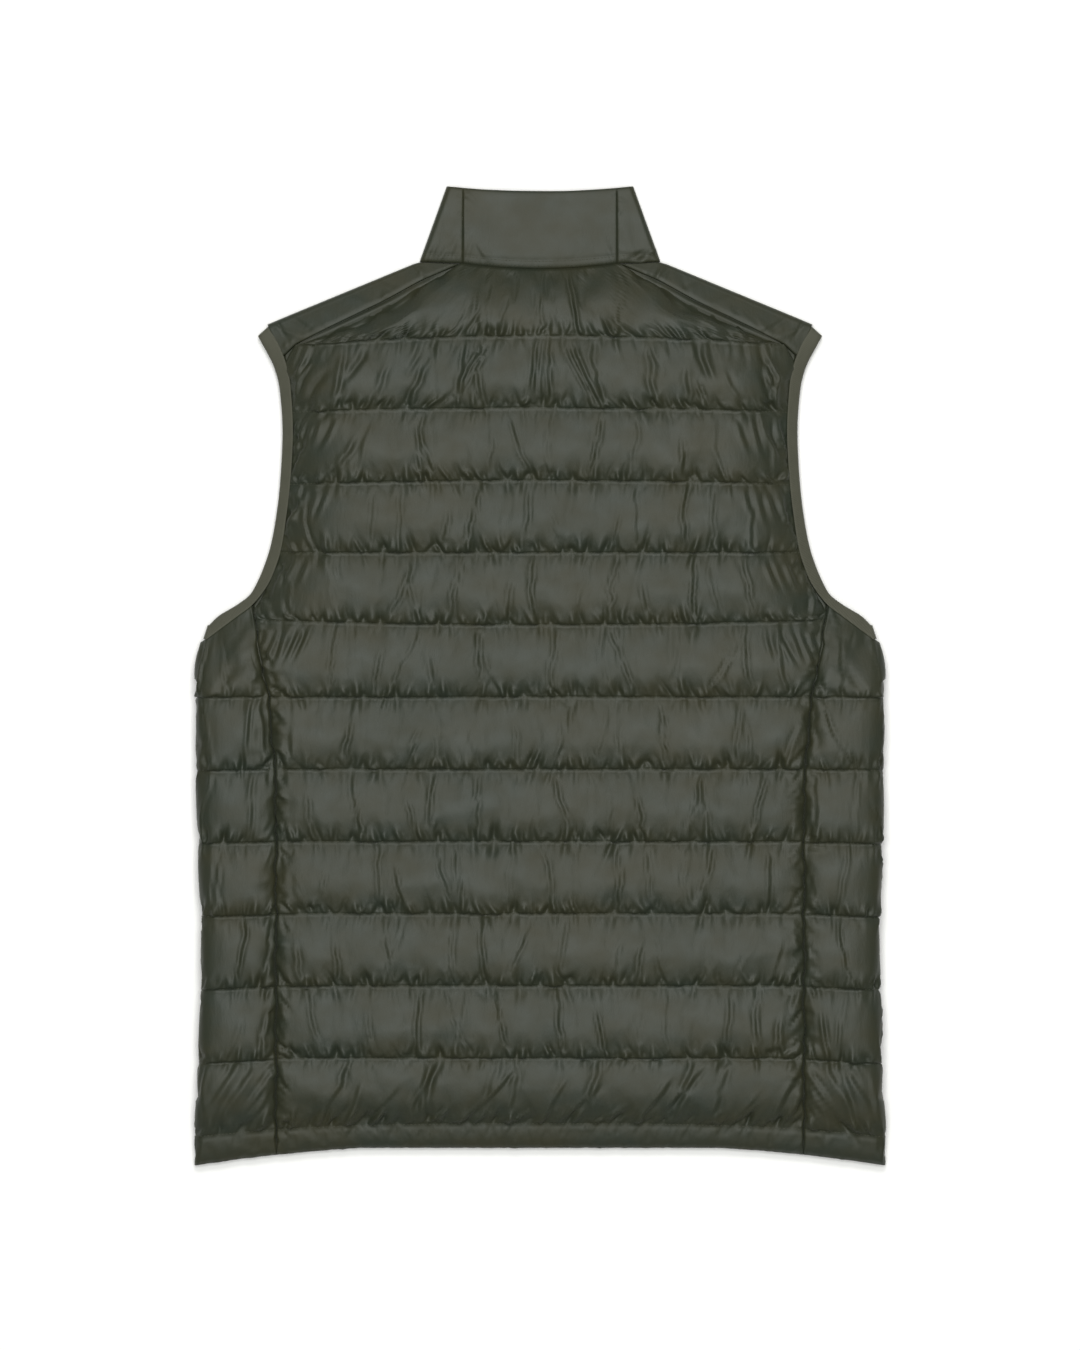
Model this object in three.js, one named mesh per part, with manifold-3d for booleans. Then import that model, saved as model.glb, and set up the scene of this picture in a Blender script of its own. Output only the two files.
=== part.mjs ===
// Quilted puffer vest, size L, lying flat on its front with its back upwards.
// Units are millimetres. +Z is up, +Y runs from hem to collar and +X is the wearer's right-hand side.
// The floor is z = 0: the two fronts rest on it, and the back lies on the fronts.
// Every cloth piece is a padded wall that follows from one loft field and its own cut edge.

import * as THREE from 'three';
import { mergeVertices } from 'three/addons/utils/BufferGeometryUtils.js';
import Module from 'manifold-3d';

// ---- Driving dimensions -------------------------------------------------------------------------

const CROWN_LOFT = 16;        // thickness of one padded layer at the crown of a channel
const EDGE_LOFT = 4.4;        // thickness of one layer at the garment's own edges
const PINCH = 2.4;            // thickness of cloth and padding on a line of stitching
const LAYER_GAP = 0.4;        // air between the lower layer and the upper one
const SEAM_GAP = 0.3;         // air between two pieces at a seam
const GROOVE_SHARE = 0.4;     // share of a stitched groove that is on the underside of a layer

const QUILT_TOP = 275.4;      // y of the highest stitch row on the back
const QUILT_PITCH = 58.65;    // distance between stitch rows
const QUILT_ROWS = 11;        // stitch rows on the back
const ROW_DROP = [7, 3, 3, 0, -3];   // how far the upper stitch rows sink at the armhole
const SIDE_ROWS_FROM = 5;     // first stitch row that crosses the side panels

const HEM_STITCH = { centre: -365, fold: -376 };
const HEM_EDGE = { centre: -385, fold: -399.5, flat: 146 };
const CASING_LOFT = 4;        // thickness of the turned-up hem casing

const FOLD_X = 281.5;         // half width of the vest at its side fold
const WAIST_INSET = 4;        // how far the fold draws in at the waist
const WAIST_Y = -225;
const NOTCH = 2.6;            // how far a stitch row draws the fold in

const NECK_SEAM = { centre: 331, seam: 335.5, corner: 337 };
const NECK_HALF = 98;         // half width at the foot of the collar
const COLLAR_TOP = { half: 76, corner: 398, centre: 394 };
const COLLAR_SEAM_X = 62.6;   // seam between the back and side pieces of the collar
const COLLAR_WALL = 4.1;
const COLLAR_FRONT_DROP = 72;
const COLLAR_FRONT_LENGTH = 118;   // length of the collar from the neck fold to the zip
const FRONT_ARM_CUT = 1.8;    // how much deeper the front's armhole is cut
const FRONT_EDGE_X = 6.5;     // half of the strip of zip that shows between the fronts

const SHOULDER_TIP = [224, 285];
const YOKE_WALL = 3.6;
const BINDING_WALL = 3.6;

const HEM_REACH = 75;         // distance over which the loft grows from each edge
const ARMHOLE_REACH = 40;
const SHOULDER_REACH = 60;
const SEAM_REACH = 20;        // distance over which a channel fills out beside a seam
const ZIP_FLAT = 9;           // flat strip of each front beside the zip

const TAPE = { edge: 14, half: 0.5 };
const CHAIN = { inner: 0.2, outer: 2.9, half: 1.4 };
const ZIP_END_GAP = 8;        // the zip stops this far above the hem edge
const SLIDER = { y: 304, length: 11, half: 5, plate: 1.2, post: 1.5, play: 0.9 };
const BRIDGE = { half: 2.2, wall: 1, rise: 2.9, width: 1.6 };
const PULL = { bar: 0.6, eyeEnd: 3.1, eyeHalf: 1.25, neckHalf: 2.5, length: 31, half: 3.6 };

// Cut edges of the upper layer, each from low to high, on the wearer's right side (+X).
const SIDE_SEAM = [[214.5, -400], [214.5, -101], [216, -69], [220, -22], [226, 14], [234, 57]];
const ARMHOLE_INNER = [
  [224.5, 70], [214.5, 92], [206.8, 133], [202.9, 173], [201.9, 200], [203, 224], [204.8, 242], [208, 255],
];
const YOKE_SEAM = [[199, 269.4], [170.7, 283.5], [128, 304], [96.5, 321.5], [65, 335.3]];
const ARMHOLE_OUTER = [
  [269.5, 40.5], [262, 47.8], [247, 57], [237, 64.5], [231, 74], [222, 96], [214, 135],
  [210.5, 174], [209.7, 200], [211, 223], [213.3, 240], [217, 252], [222, 262], [229.3, 275.2],
];
const FRONT_NECK = [[6.5, 266], [15.5, 266.6], [45, 273.5], [75, 290], [92.5, 311.5], [97.2, 336.5]];
const UNDERARM = { seam: [233.5, 58.2], fold: [275, 27] };   // ends of the side panel's top edge
const SHOULDER_END = [[213, 268], [220.8, 281.5]];           // inner edge of the binding on the yoke

// Positions through a channel, from one stitch row to the next, and how full it is there.
const CHANNEL_STEPS = [[0, 0], [0.12, 0.62], [0.35, 1], [0.65, 1], [0.88, 0.62]];

// ---- Small helpers ------------------------------------------------------------------------------

const lerp = (a, b, t) => a + (b - a) * t;
const clamp01 = (t) => Math.min(1, Math.max(0, t));
const swell = (share) => Math.sin(clamp01(share) * Math.PI / 2);

/** x of a line of [x, y] points, ordered by rising y, at height y. */
function xAt(line, y) {
  if (y <= line[0][1]) {
    return line[0][0];
  }
  for (let i = 1; i < line.length; i += 1) {
    const [x0, y0] = line[i - 1];
    const [x1, y1] = line[i];
    if (y <= y1) {
      return lerp(x0, x1, (y - y0) / (y1 - y0));
    }
  }
  return line[line.length - 1][0];
}

/** Distance in plan from (x, y) to a line of points. */
function distanceTo(line, x, y) {
  let best = Infinity;
  for (let i = 1; i < line.length; i += 1) {
    const [ax, ay] = line[i - 1];
    const [bx, by] = line[i];
    const span = (bx - ax) ** 2 + (by - ay) ** 2;
    const t = clamp01(((x - ax) * (bx - ax) + (y - ay) * (by - ay)) / span);
    best = Math.min(best, Math.hypot(x - lerp(ax, bx, t), y - lerp(ay, by, t)));
  }
  return best;
}

/**
 * Closed wall from rows of matching outer and inner points.
 * A ring closes on its first row, and any other wall gets an end at its first and last row.
 */
function wall(rows, ring = false) {
  const columns = rows[0].outer.length;
  const positions = [];
  for (const row of rows) {
    for (const point of [...row.outer, ...row.inner]) {
      positions.push(...point);
    }
  }
  const faces = [];
  const quad = (a, b, c, d) => faces.push(a, b, c, a, c, d);
  const outer = (i, j) => (i % rows.length) * columns * 2 + j;
  const inner = (i, j) => outer(i, j) + columns;
  const last = columns - 1;
  for (let i = 0; i < rows.length - (ring ? 0 : 1); i += 1) {
    for (let j = 0; j < last; j += 1) {
      quad(outer(i, j), outer(i, j + 1), outer(i + 1, j + 1), outer(i + 1, j));
      quad(inner(i, j), inner(i + 1, j), inner(i + 1, j + 1), inner(i, j + 1));
    }
    quad(outer(i, 0), outer(i + 1, 0), inner(i + 1, 0), inner(i, 0));
    quad(outer(i, last), inner(i, last), inner(i + 1, last), outer(i + 1, last));
  }
  if (!ring) {
    const end = rows.length - 1;
    for (let j = 0; j < last; j += 1) {
      quad(outer(0, j), inner(0, j), inner(0, j + 1), outer(0, j + 1));
      quad(outer(end, j), outer(end, j + 1), inner(end, j + 1), inner(end, j));
    }
  }
  return facingOut(positions, faces);
}

/** Indexed geometry with its faces turned outwards. */
function facingOut(positions, faces) {
  let volume = 0;
  const at = (i) => new THREE.Vector3().fromArray(positions, 3 * i);
  for (let i = 0; i < faces.length; i += 3) {
    volume += at(faces[i]).dot(at(faces[i + 1]).cross(at(faces[i + 2])));
  }
  if (volume < 0) {
    faces.reverse();
  }
  const geometry = new THREE.BufferGeometry();
  geometry.setAttribute('position', new THREE.Float32BufferAttribute(positions, 3));
  geometry.setIndex(faces);
  geometry.computeVertexNormals();
  return geometry;
}

/** The same rows on the other side of the centre line. */
function mirrored(rows) {
  const flip = ([x, y, z]) => [-x, y, z];
  return rows.map((row) => ({ outer: row.outer.map(flip), inner: row.inner.map(flip) }));
}

// ---- The garment's outline and loft -------------------------------------------------------------

/** Height of the hem edge across the vest. */
function hemEdgeY(x) {
  const t = clamp01((Math.abs(x) - HEM_EDGE.flat) / (FOLD_X - HEM_EDGE.flat));
  return lerp(HEM_EDGE.centre, HEM_EDGE.fold, t * lerp(t, 1, 0.55));
}

/** Height of the stitching that closes the hem casing. */
function hemStitchY(x) {
  return lerp(HEM_STITCH.centre, HEM_STITCH.fold, (Math.abs(x) / FOLD_X) ** 3);
}

/** Height of stitch row k across the vest. */
function quiltY(k, x) {
  const drop = ROW_DROP[k] ?? 0;
  const lower = k >= SIDE_ROWS_FROM ? 0.9 * (k - SIDE_ROWS_FROM) * clamp01((Math.abs(x) - 190) / 90) : 0;
  return QUILT_TOP - k * QUILT_PITCH - drop * (Math.abs(x) / 200) ** 2 - lower;
}

/** Height of the seam between body and collar. */
function neckSeamY(x) {
  const reach = Math.abs(x);
  if (reach < COLLAR_SEAM_X) {
    return lerp(NECK_SEAM.centre, NECK_SEAM.seam, (reach / COLLAR_SEAM_X) ** 2);
  }
  const t = clamp01((reach - COLLAR_SEAM_X) / (NECK_HALF - COLLAR_SEAM_X));
  return lerp(NECK_SEAM.seam, NECK_SEAM.corner, t);
}

/** Half width of the vest at its side fold. */
function foldX(y) {
  return FOLD_X - WAIST_INSET * Math.exp(-(((y - WAIST_Y) / 95) ** 2)) - 7 * clamp01((y - 2) / 28) ** 2.5;
}

const SHOULDER_LINE = [[0, NECK_SEAM.centre], [NECK_HALF, NECK_SEAM.corner], SHOULDER_TIP];

/** Thickness of one layer where its channels are full, from the distances to the garment's edges. */
function loft(x, y) {
  const reach = Math.abs(x);
  if (reach < NECK_HALF && y > neckSeamY(x)) {
    return EDGE_LOFT;
  }
  const hem = swell((y - hemEdgeY(x)) / HEM_REACH);
  const arm = swell(distanceTo(ARMHOLE_OUTER, reach, y) / ARMHOLE_REACH);
  const shoulder = swell(distanceTo(SHOULDER_LINE, reach, y) / SHOULDER_REACH);
  return EDGE_LOFT + (CROWN_LOFT - EDGE_LOFT) * hem * arm * shoulder;
}

/** Lower and upper face of a layer of the given thickness; the upper layer lies on the lower one. */
function layer(isUpper, full, thickness) {
  const low = (isUpper ? full + LAYER_GAP : 0) + Math.max(0, full - thickness) * GROOVE_SHARE;
  return { low, high: low + thickness };
}

/** Thickness of a quilted layer from how full its channel is and how near its seams are. */
function quilted(full, fullness) {
  return PINCH + (full - PINCH) * fullness;
}

/** Rows through the sewn channels, from the hem edge up: y across the vest, fullness and kind. */
function channelRows(firstRow, topY, allSteps, topSteps) {
  const rows = [];
  for (const [t, thickness] of [[0, 3], [0.3, CASING_LOFT], [0.75, CASING_LOFT]]) {
    rows.push({ y: (x) => lerp(hemEdgeY(x), hemStitchY(x), t), casing: thickness });
  }
  for (let k = QUILT_ROWS; k >= firstRow; k -= 1) {
    const low = k === QUILT_ROWS ? hemStitchY : (x) => quiltY(k, x);
    const high = k === firstRow ? topY : (x) => quiltY(k - 1, x);
    const steps = k === firstRow ? topSteps : allSteps;
    for (const [t, fullness] of steps) {
      rows.push({ y: (x) => lerp(low(x), high(x), t), fullness });
    }
  }
  return rows;
}

/** Thickness of a quilted piece at a point of a channel row, thinned beside its seams. */
function rowThickness(row, full, seamDistance) {
  if (row.casing) {
    return Math.min(row.casing, full);
  }
  return quilted(full, row.fullness * Math.max(0.02, swell(seamDistance / SEAM_REACH)));
}

// ---- Quilted panels -----------------------------------------------------------------------------

/** Half width of the back panel, where it meets the side seam, armhole and yoke. */
const BACK_EDGE = [...SIDE_SEAM, ...ARMHOLE_INNER, [209, 260], ...YOKE_SEAM];
const ACROSS = [-1, -0.955, -0.84, -0.5, 0, 0.5, 0.84, 0.955, 1];

/** x where a channel row meets a cut edge, found by stepping from a first guess. */
function meet(row, edge) {
  let x = 200;
  for (let i = 0; i < 5; i += 1) {
    x = edge(row.y(x));
  }
  return x;
}

/** Back panel: from the hem edge to the neck and the yoke seams. */
function backPanelRows() {
  const topSteps = [...CHANNEL_STEPS, [1, 0]];
  const neck = (x) => neckSeamY(x) - SEAM_GAP;
  return channelRows(0, neck, CHANNEL_STEPS, topSteps).map((row) => {
    const half = meet(row, (y) => xAt(BACK_EDGE, y) - SEAM_GAP);
    const outer = [];
    const inner = [];
    for (const share of ACROSS) {
      const x = share * half;
      const y = row.y(x);
      const full = loft(x, y);
      const thickness = rowThickness(row, full, half - Math.abs(x));
      const { low, high } = layer(true, full, thickness);
      outer.push([x, y, high]);
      inner.push([x, y, low]);
    }
    return { outer, inner };
  });
}

/** y of a line of [x, y] points, ordered by rising x, at x. */
function yAt(line, x) {
  return xAt(line.map(([px, py]) => [py, px]), x);
}

const FRONT_YOKE_SEAM = [[92.5, 311.5], [207, 266]];
const FRONT_EDGE = [...SIDE_SEAM, ...ARMHOLE_INNER.map(([x, y]) => [x - FRONT_ARM_CUT, y]), [207, 266]];
const FRONT_STEPS = [[0, 0], [0.24, 1], [0.76, 1]];

/** Top edge of a front: the neckline, then the seam with the yoke. */
function frontTopY(x) {
  return (x < 92.5 ? yAt(FRONT_NECK, x) : yAt(FRONT_YOKE_SEAM, x)) - SEAM_GAP;
}

/** Front panel: the same channels as the back, from the zip to the side seam, below the shoulder. */
function frontPanelRows() {
  return channelRows(1, frontTopY, FRONT_STEPS, [...FRONT_STEPS, [1, 0]]).map((row) => {
    const right = meet(row, (y) => xAt(FRONT_EDGE, y) - SEAM_GAP);
    const outer = [];
    const inner = [];
    for (const x of [FRONT_EDGE_X, FRONT_EDGE_X + ZIP_FLAT, 45, 75, 92.5, 150, right - 14, right]) {
      const y = row.y(x);
      const full = loft(x, y);
      const seamDistance = Math.min(x - FRONT_EDGE_X - ZIP_FLAT, right - x);
      const thickness = seamDistance <= 0 ? PINCH : rowThickness(row, full, seamDistance);
      const { low, high } = layer(false, full, thickness);
      outer.push([x, y, low]);
      inner.push([x, y, high]);
    }
    return { outer, inner };
  });
}

/**
 * Section of a piece that wraps a fold: over the top, round the fold and back underneath.
 * place(isUpper, s) gives the plan point at distance s from the fold, and thickness(x, y, s) the wall.
 */
function foldedRow(place, runs, bend, thickness) {
  const outer = [];
  const inner = [];
  const flatPart = (isUpper, distances) => {
    for (const s of distances) {
      const [x, y] = place(isUpper, s);
      const { low, high } = layer(isUpper, loft(x, y), thickness(x, y, s));
      outer.push([x, y, isUpper ? high : low]);
      inner.push([x, y, isUpper ? low : high]);
    }
  };
  flatPart(true, runs.upper);
  const [x, y] = place(true, bend);
  const full = loft(x, y);
  const upper = layer(true, full, thickness(x, y, bend));
  const lower = layer(false, full, thickness(x, y, bend));
  const middle = (upper.low + lower.high) / 2;
  for (const degrees of [50, 0, -50]) {
    const angle = degrees * Math.PI / 180;
    const [ox, oy] = place(degrees >= 0, bend * (1 - Math.cos(angle)));
    outer.push([ox, oy, middle + (upper.high - middle) * Math.sin(angle)]);
    const slot = bend * (1 - 0.12 * Math.cos(angle));
    const [ix, iy] = place(degrees >= 0, slot);
    inner.push([ix, iy, middle + (upper.low - middle) * Math.sin(angle)]);
  }
  flatPart(false, [...runs.lower].reverse());
  return { outer, inner };
}

/** Height of the side panel's top edge, which the armhole binding follows. */
function underarmY(x) {
  const { seam, fold } = UNDERARM;
  return lerp(seam[1], fold[1], clamp01((x - seam[0]) / (fold[0] - seam[0])));
}

/** Side panel: from the back seam, round the side fold, to the front seam. */
function sidePanelRows() {
  const lineY = (x) => underarmY(x) - SEAM_GAP;
  const topSteps = [...CHANNEL_STEPS.slice(0, 4), [0.86, 0.8], [1, 0.25]];
  return channelRows(SIDE_ROWS_FROM, lineY, CHANNEL_STEPS, topSteps).map((row) => {
    const nearY = row.y(FOLD_X);
    const fold = foldX(nearY) - (row.casing ? -0.8 : NOTCH * (1 - row.fullness) * (nearY > 0 ? 0 : 1));
    const seam = meet(row, (y) => xAt(SIDE_SEAM, y));
    const width = fold - seam - SEAM_GAP;
    const bend = Math.min(loft(fold - 16, row.y(fold - 16)), width * 0.4);
    const place = (isUpper, s) => [fold - s, row.y(fold - s)];
    const thickness = (x, y, s) => rowThickness(row, loft(x, y), width - s);
    const upper = [width, width - 5, lerp(width - 5, bend, 0.45), bend];
    const lower = [width, lerp(width, bend, 0.35), bend];
    return foldedRow(place, { upper, lower }, bend, thickness);
  });
}

// ---- Smooth pieces ------------------------------------------------------------------------------

/** Plan points on the straight line from one point towards another, by distance. */
function towards([ax, ay], [bx, by]) {
  const length = Math.hypot(bx - ax, by - ay);
  const at = (s) => [ax + (bx - ax) * s / length, ay + (by - ay) * s / length];
  return { length, at };
}

// Each station of the yoke: x on the back seam, shoulder fold and front seam.
const YOKE_STATIONS = [
  { seamX: 66.5, fold: [98.7, 336], frontX: 95 },
  { seamX: 81, fold: [104, 334.3], frontX: 98 },
  { seamX: 96.5, fold: [116, 329.4], frontX: 107 },
  { seamX: 128, fold: [145, 317.4], frontX: 134 },
  { seamX: 170.7, fold: [185, 300.9], frontX: 174 },
  { seamX: 199, fold: [211, 290.2], frontX: 199 },
  { seamX: 208.8, fold: [220.6, 286.1], frontX: 206.4 },
];

/** Height of the seam between the yoke and the back panel. */
function yokeSeamY(x) {
  const line = [[209, 260], ...YOKE_SEAM];
  for (let i = 1; i < line.length; i += 1) {
    if (x >= line[i][0]) {
      return lerp(line[i][1], line[i - 1][1], (x - line[i][0]) / (line[i - 1][0] - line[i][0]));
    }
  }
  return line[line.length - 1][1];
}

/** Shoulder yoke: a smooth strip whose sections wrap the shoulder fold. */
function yokeRows() {
  return YOKE_STATIONS.map(({ seamX, fold, frontX }) => {
    const above = towards(fold, [seamX, yokeSeamY(seamX) + 2 * SEAM_GAP]);
    const below = towards(fold, [frontX, yAt(FRONT_YOKE_SEAM, frontX) + 2 * SEAM_GAP]);
    const bend = EDGE_LOFT;
    const place = (isUpper, s) => (isUpper ? above : below).at(s);
    const thickness = (x, y, s) => lerp(PINCH, YOKE_WALL, clamp01((above.length - s) / 5));
    const upper = [above.length, above.length - 4, above.length * 0.55, bend];
    const lower = [below.length, below.length * 0.5, bend];
    return foldedRow(place, { upper, lower }, bend, thickness);
  });
}

/** Height of the collar's top edge on the back. */
function collarTopY(x) {
  return lerp(COLLAR_TOP.centre, COLLAR_TOP.corner, (Math.abs(x) / COLLAR_TOP.half) ** 2);
}

const COLLAR_LEVELS = [[0, PINCH], [0.1, COLLAR_WALL], [0.5, COLLAR_WALL], [0.93, COLLAR_WALL], [1, PINCH]];

/** Back piece of the collar, between its two seams. */
function collarBackRows() {
  return COLLAR_LEVELS.map(([t, thickness]) => {
    const outer = [];
    const inner = [];
    for (const share of [-1, -0.9, -0.4, 0, 0.4, 0.9, 1]) {
      const x = share * (COLLAR_SEAM_X - SEAM_GAP / 2);
      const y = lerp(neckSeamY(x) + SEAM_GAP, collarTopY(x), t);
      const atSeam = Math.abs(share) === 1 ? PINCH : thickness;
      const { low, high } = layer(true, EDGE_LOFT, atSeam);
      outer.push([x, y, high]);
      inner.push([x, y, low]);
    }
    return { outer, inner };
  });
}

/** Side piece of the collar: from the back seam, round the neck fold, down to the front edge. */
function collarSideRows() {
  const seamX = COLLAR_SEAM_X + SEAM_GAP / 2;
  const footSweep = NECK_HALF - FRONT_EDGE_X;
  const topSweep = COLLAR_TOP.half - FRONT_EDGE_X;
  return COLLAR_LEVELS.map(([t, thickness]) => {
    const foot = [NECK_HALF, NECK_SEAM.corner + SEAM_GAP];
    const foldAt = [lerp(foot[0], COLLAR_TOP.half, t), lerp(foot[1], COLLAR_TOP.corner, t)];
    const seamAt = [seamX, lerp(neckSeamY(seamX) + SEAM_GAP, collarTopY(seamX), t)];
    const above = towards(foldAt, seamAt);
    const below = COLLAR_FRONT_LENGTH;
    const place = (isUpper, s) => {
      if (isUpper) {
        return above.at(s);
      }
      const angle = clamp01(s / below) * Math.PI / 2;
      const footX = NECK_HALF - footSweep * (1 - Math.cos(angle));
      const footY = Math.min(foldAt[1], yAt(FRONT_NECK, footX) + 2 * SEAM_GAP + 0.3 * (1 - s / below));
      const topX = COLLAR_TOP.half - topSweep * (1 - Math.cos(angle));
      const topY = COLLAR_TOP.corner - COLLAR_FRONT_DROP * Math.sin(angle);
      return [lerp(footX, topX, t), lerp(footY, topY, t)];
    };
    const wallAt = (x, y, s) => (s > above.length - 0.1 && s < above.length + 0.1) || s > 0.89 * below
      ? PINCH : thickness;
    const upper = [above.length, above.length - 3, above.length * 0.6, EDGE_LOFT];
    const lower = [1, 0.9, 0.83, 0.66, 0.5, 0.33, 0.17].map((share) => share * below);
    return foldedRow(place, { upper, lower: [...lower, EDGE_LOFT] }, EDGE_LOFT, wallAt);
  });
}

/** Armhole binding: a ring that runs up the back, over the shoulder, down the front and under the arm. */
function bindingRows() {
  const shoulderOut = [0.382, 0.924];
  const sideOut = [0.98, 0.2];
  const beside = 3 * SEAM_GAP;
  const innerEdge = [
    ...[271.3, 259, 246, 235].map((x) => [x, underarmY(x) + beside]),
    ...[...ARMHOLE_INNER, ...SHOULDER_END].map(([x, y]) => [x + beside, y]),
  ];
  const spread = 3;
  const section = (isUpper, i) => {
    const outer = [];
    const inner = [];
    for (const [x, y] of [innerEdge[i], ARMHOLE_OUTER[i]]) {
      const { low, high } = layer(isUpper, loft(x, y), BINDING_WALL);
      outer.push([x, y, isUpper ? high : low]);
      inner.push([x, y, isUpper ? low : high]);
    }
    return { outer, inner };
  };
  const wrap = (i, out, signs) => signs.map((degrees) => {
    const angle = degrees * Math.PI / 180;
    const upper = section(true, i);
    const lower = section(false, i);
    const turn = (top, bottom, reach) => top.map(([x, y, z], j) => {
      const middle = (z + bottom[j][2]) / 2;
      const rise = (z - bottom[j][2]) / 2;
      const push = reach * Math.cos(angle);
      return [x + out[0] * push, y + out[1] * push, middle + rise * Math.sin(angle)];
    });
    return { outer: turn(upper.outer, lower.outer, spread), inner: turn(upper.inner, lower.inner, 0.3) };
  });
  const stations = ARMHOLE_OUTER.map((point, i) => i);
  return [
    ...stations.map((i) => section(true, i)),
    ...wrap(stations.length - 1, shoulderOut, [50, 0, -50]),
    ...[...stations].reverse().map((i) => section(false, i)),
    ...wrap(0, sideOut, [-50, 0, 50]),
  ];
}

// ---- Front zip ----------------------------------------------------------------------------------

/** Height of the middle of the zip tape, which lies just above the flat edges of the fronts. */
function tapeZ(y) {
  return layer(false, loft(0, y), PINCH).high + SEAM_GAP + TAPE.half;
}

/** One tape of the zip, with its half of the chain up to the slider. */
function zipRows() {
  const bottom = hemEdgeY(0) + ZIP_END_GAP;
  const top = COLLAR_TOP.corner - COLLAR_FRONT_DROP - 4;
  const heights = [bottom, -360, -340, -318, -250, -100, 100, 240, 262, 284, SLIDER.y - 0.5];
  const section = (y, chainHalf, innerX) => {
    const z = tapeZ(y);
    const columns = [[innerX, chainHalf], [CHAIN.outer, chainHalf], [CHAIN.outer + 0.1, TAPE.half],
      [TAPE.edge, TAPE.half]];
    return {
      outer: columns.map(([x, half]) => [x, y, z - half]),
      inner: columns.map(([x, half]) => [x, y, z + half]),
    };
  };
  return [
    ...heights.map((y) => section(y, CHAIN.half, CHAIN.inner)),
    section(SLIDER.y, TAPE.half, SLIDER.post + 0.4),
    section(top, TAPE.half, SLIDER.post + 0.9),
  ];
}

const kit = await Module();
kit.setup();

/** Manifold solid from a closed geometry. */
function solid(geometry) {
  const bare = geometry.index ? geometry.toNonIndexed() : geometry.clone();
  bare.deleteAttribute('normal');
  bare.deleteAttribute('uv');
  const merged = mergeVertices(bare, 1e-4);
  return new kit.Manifold(new kit.Mesh({
    numProp: 3,
    vertProperties: Float32Array.from(merged.attributes.position.array),
    triVerts: Uint32Array.from(merged.index.array),
  }));
}

/** Geometry of a manifold solid. */
function geometryOf(body) {
  const mesh = body.getMesh();
  const geometry = new THREE.BufferGeometry();
  geometry.setAttribute('position', new THREE.Float32BufferAttribute(mesh.vertProperties, 3));
  geometry.setIndex(Array.from(mesh.triVerts));
  geometry.computeVertexNormals();
  return geometry;
}

/** Plate of an outline in x and y, extruded upwards from z = 0. */
function plate(outline, thickness, holes = []) {
  const shape = new THREE.Shape(outline.map(([x, y]) => new THREE.Vector2(x, y)));
  for (const hole of holes) {
    shape.holes.push(new THREE.Path(hole.map(([x, y]) => new THREE.Vector2(x, y))));
  }
  return new THREE.ExtrudeGeometry(shape, { depth: thickness, bevelEnabled: false });
}

/** Z of the slider's lower wing, of its upper wing and of the pull's pivot. */
function sliderLevels() {
  const chain = tapeZ(SLIDER.y);
  const lower = chain - CHAIN.half - SLIDER.play - SLIDER.plate;
  const upper = chain + CHAIN.half + SLIDER.play;
  return { lower, upper, pivot: lower - (BRIDGE.rise - BRIDGE.wall) / 2 };
}

/** Slider: two wings, the post between them, and the bridge that holds the pull. */
function sliderGeometry() {
  const { lower, upper } = sliderLevels();
  const end = SLIDER.length / 2;
  const wing = [[-3.6, -end], [3.6, -end], [4.4, 0], [SLIDER.half, end - 1.5], [3.8, end], [-3.8, end],
    [-SLIDER.half, end - 1.5], [-4.4, 0]];
  const post = [[0, 0.6], [SLIDER.post, 3.4], [1.1, end - 0.4], [-1.1, end - 0.4], [-SLIDER.post, 3.4]];
  const side = (x0, x1, z0, z1) => [[x0, z0], [x1, z0], [x1, z1], [x0, z1]];
  const arch = plate(side(-BRIDGE.half, BRIDGE.half, -BRIDGE.rise, 0.4), BRIDGE.width,
    [side(-BRIDGE.half + BRIDGE.wall, BRIDGE.half - BRIDGE.wall, -BRIDGE.rise + BRIDGE.wall, 0)]);
  arch.rotateX(Math.PI / 2);
  arch.rotateZ(Math.PI / 2);
  arch.translate(-BRIDGE.width / 2, 0, lower);
  const lowerWing = plate(wing, SLIDER.plate).translate(0, 0, lower);
  const upperWing = plate(wing, SLIDER.plate).translate(0, 0, upper);
  const column = plate(post, upper - lower).translate(0, 0, lower + SLIDER.plate / 2);
  const body = solid(lowerWing).add(solid(upperWing)).add(solid(column)).add(solid(arch));
  return geometryOf(body).translate(0, SLIDER.y, 0);
}

/** Pull tab: a flat tab with an eye round the bridge, pivoting on its cross bar. */
function pullGeometry() {
  const rightSide = [[2.2, -PULL.length], [PULL.half, -PULL.length + 2], [PULL.half, -PULL.length + 8],
    [2.2, -8], [PULL.neckHalf, -4.6], [PULL.neckHalf, PULL.bar]];
  const leftSide = rightSide.map(([x, y]) => [-x, y]).reverse();
  const outline = [...rightSide, ...leftSide];
  const eye = [[-PULL.eyeHalf, -PULL.eyeEnd], [PULL.eyeHalf, -PULL.eyeEnd], [PULL.eyeHalf, -PULL.bar],
    [-PULL.eyeHalf, -PULL.bar]];
  const tab = plate(outline, 2 * PULL.bar, [eye]);
  return tab.translate(0, SLIDER.y, sliderLevels().pivot - PULL.bar);
}

// ---- Assembly -----------------------------------------------------------------------------------

const shell = { color: 0x4a4d41, roughness: 0.48, metalness: 0 };
const trim = { color: 0x3d4034, roughness: 0.62, metalness: 0 };
const metal = { color: 0x2c2d28, roughness: 0.35, metalness: 0.8 };

const vest = new THREE.Group();

/** Adds one named piece with its own material. */
function piece(name, geometry, finish) {
  const mesh = new THREE.Mesh(geometry, new THREE.MeshStandardMaterial(finish));
  mesh.name = name;
  vest.add(mesh);
}

/** Adds a piece and its mirror image: +X is the wearer's right. */
function pair(name, rows, finish, ring = false) {
  piece(`${name}_right`, wall(rows, ring), finish);
  piece(`${name}_left`, wall(mirrored(rows), ring), finish);
}

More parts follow.
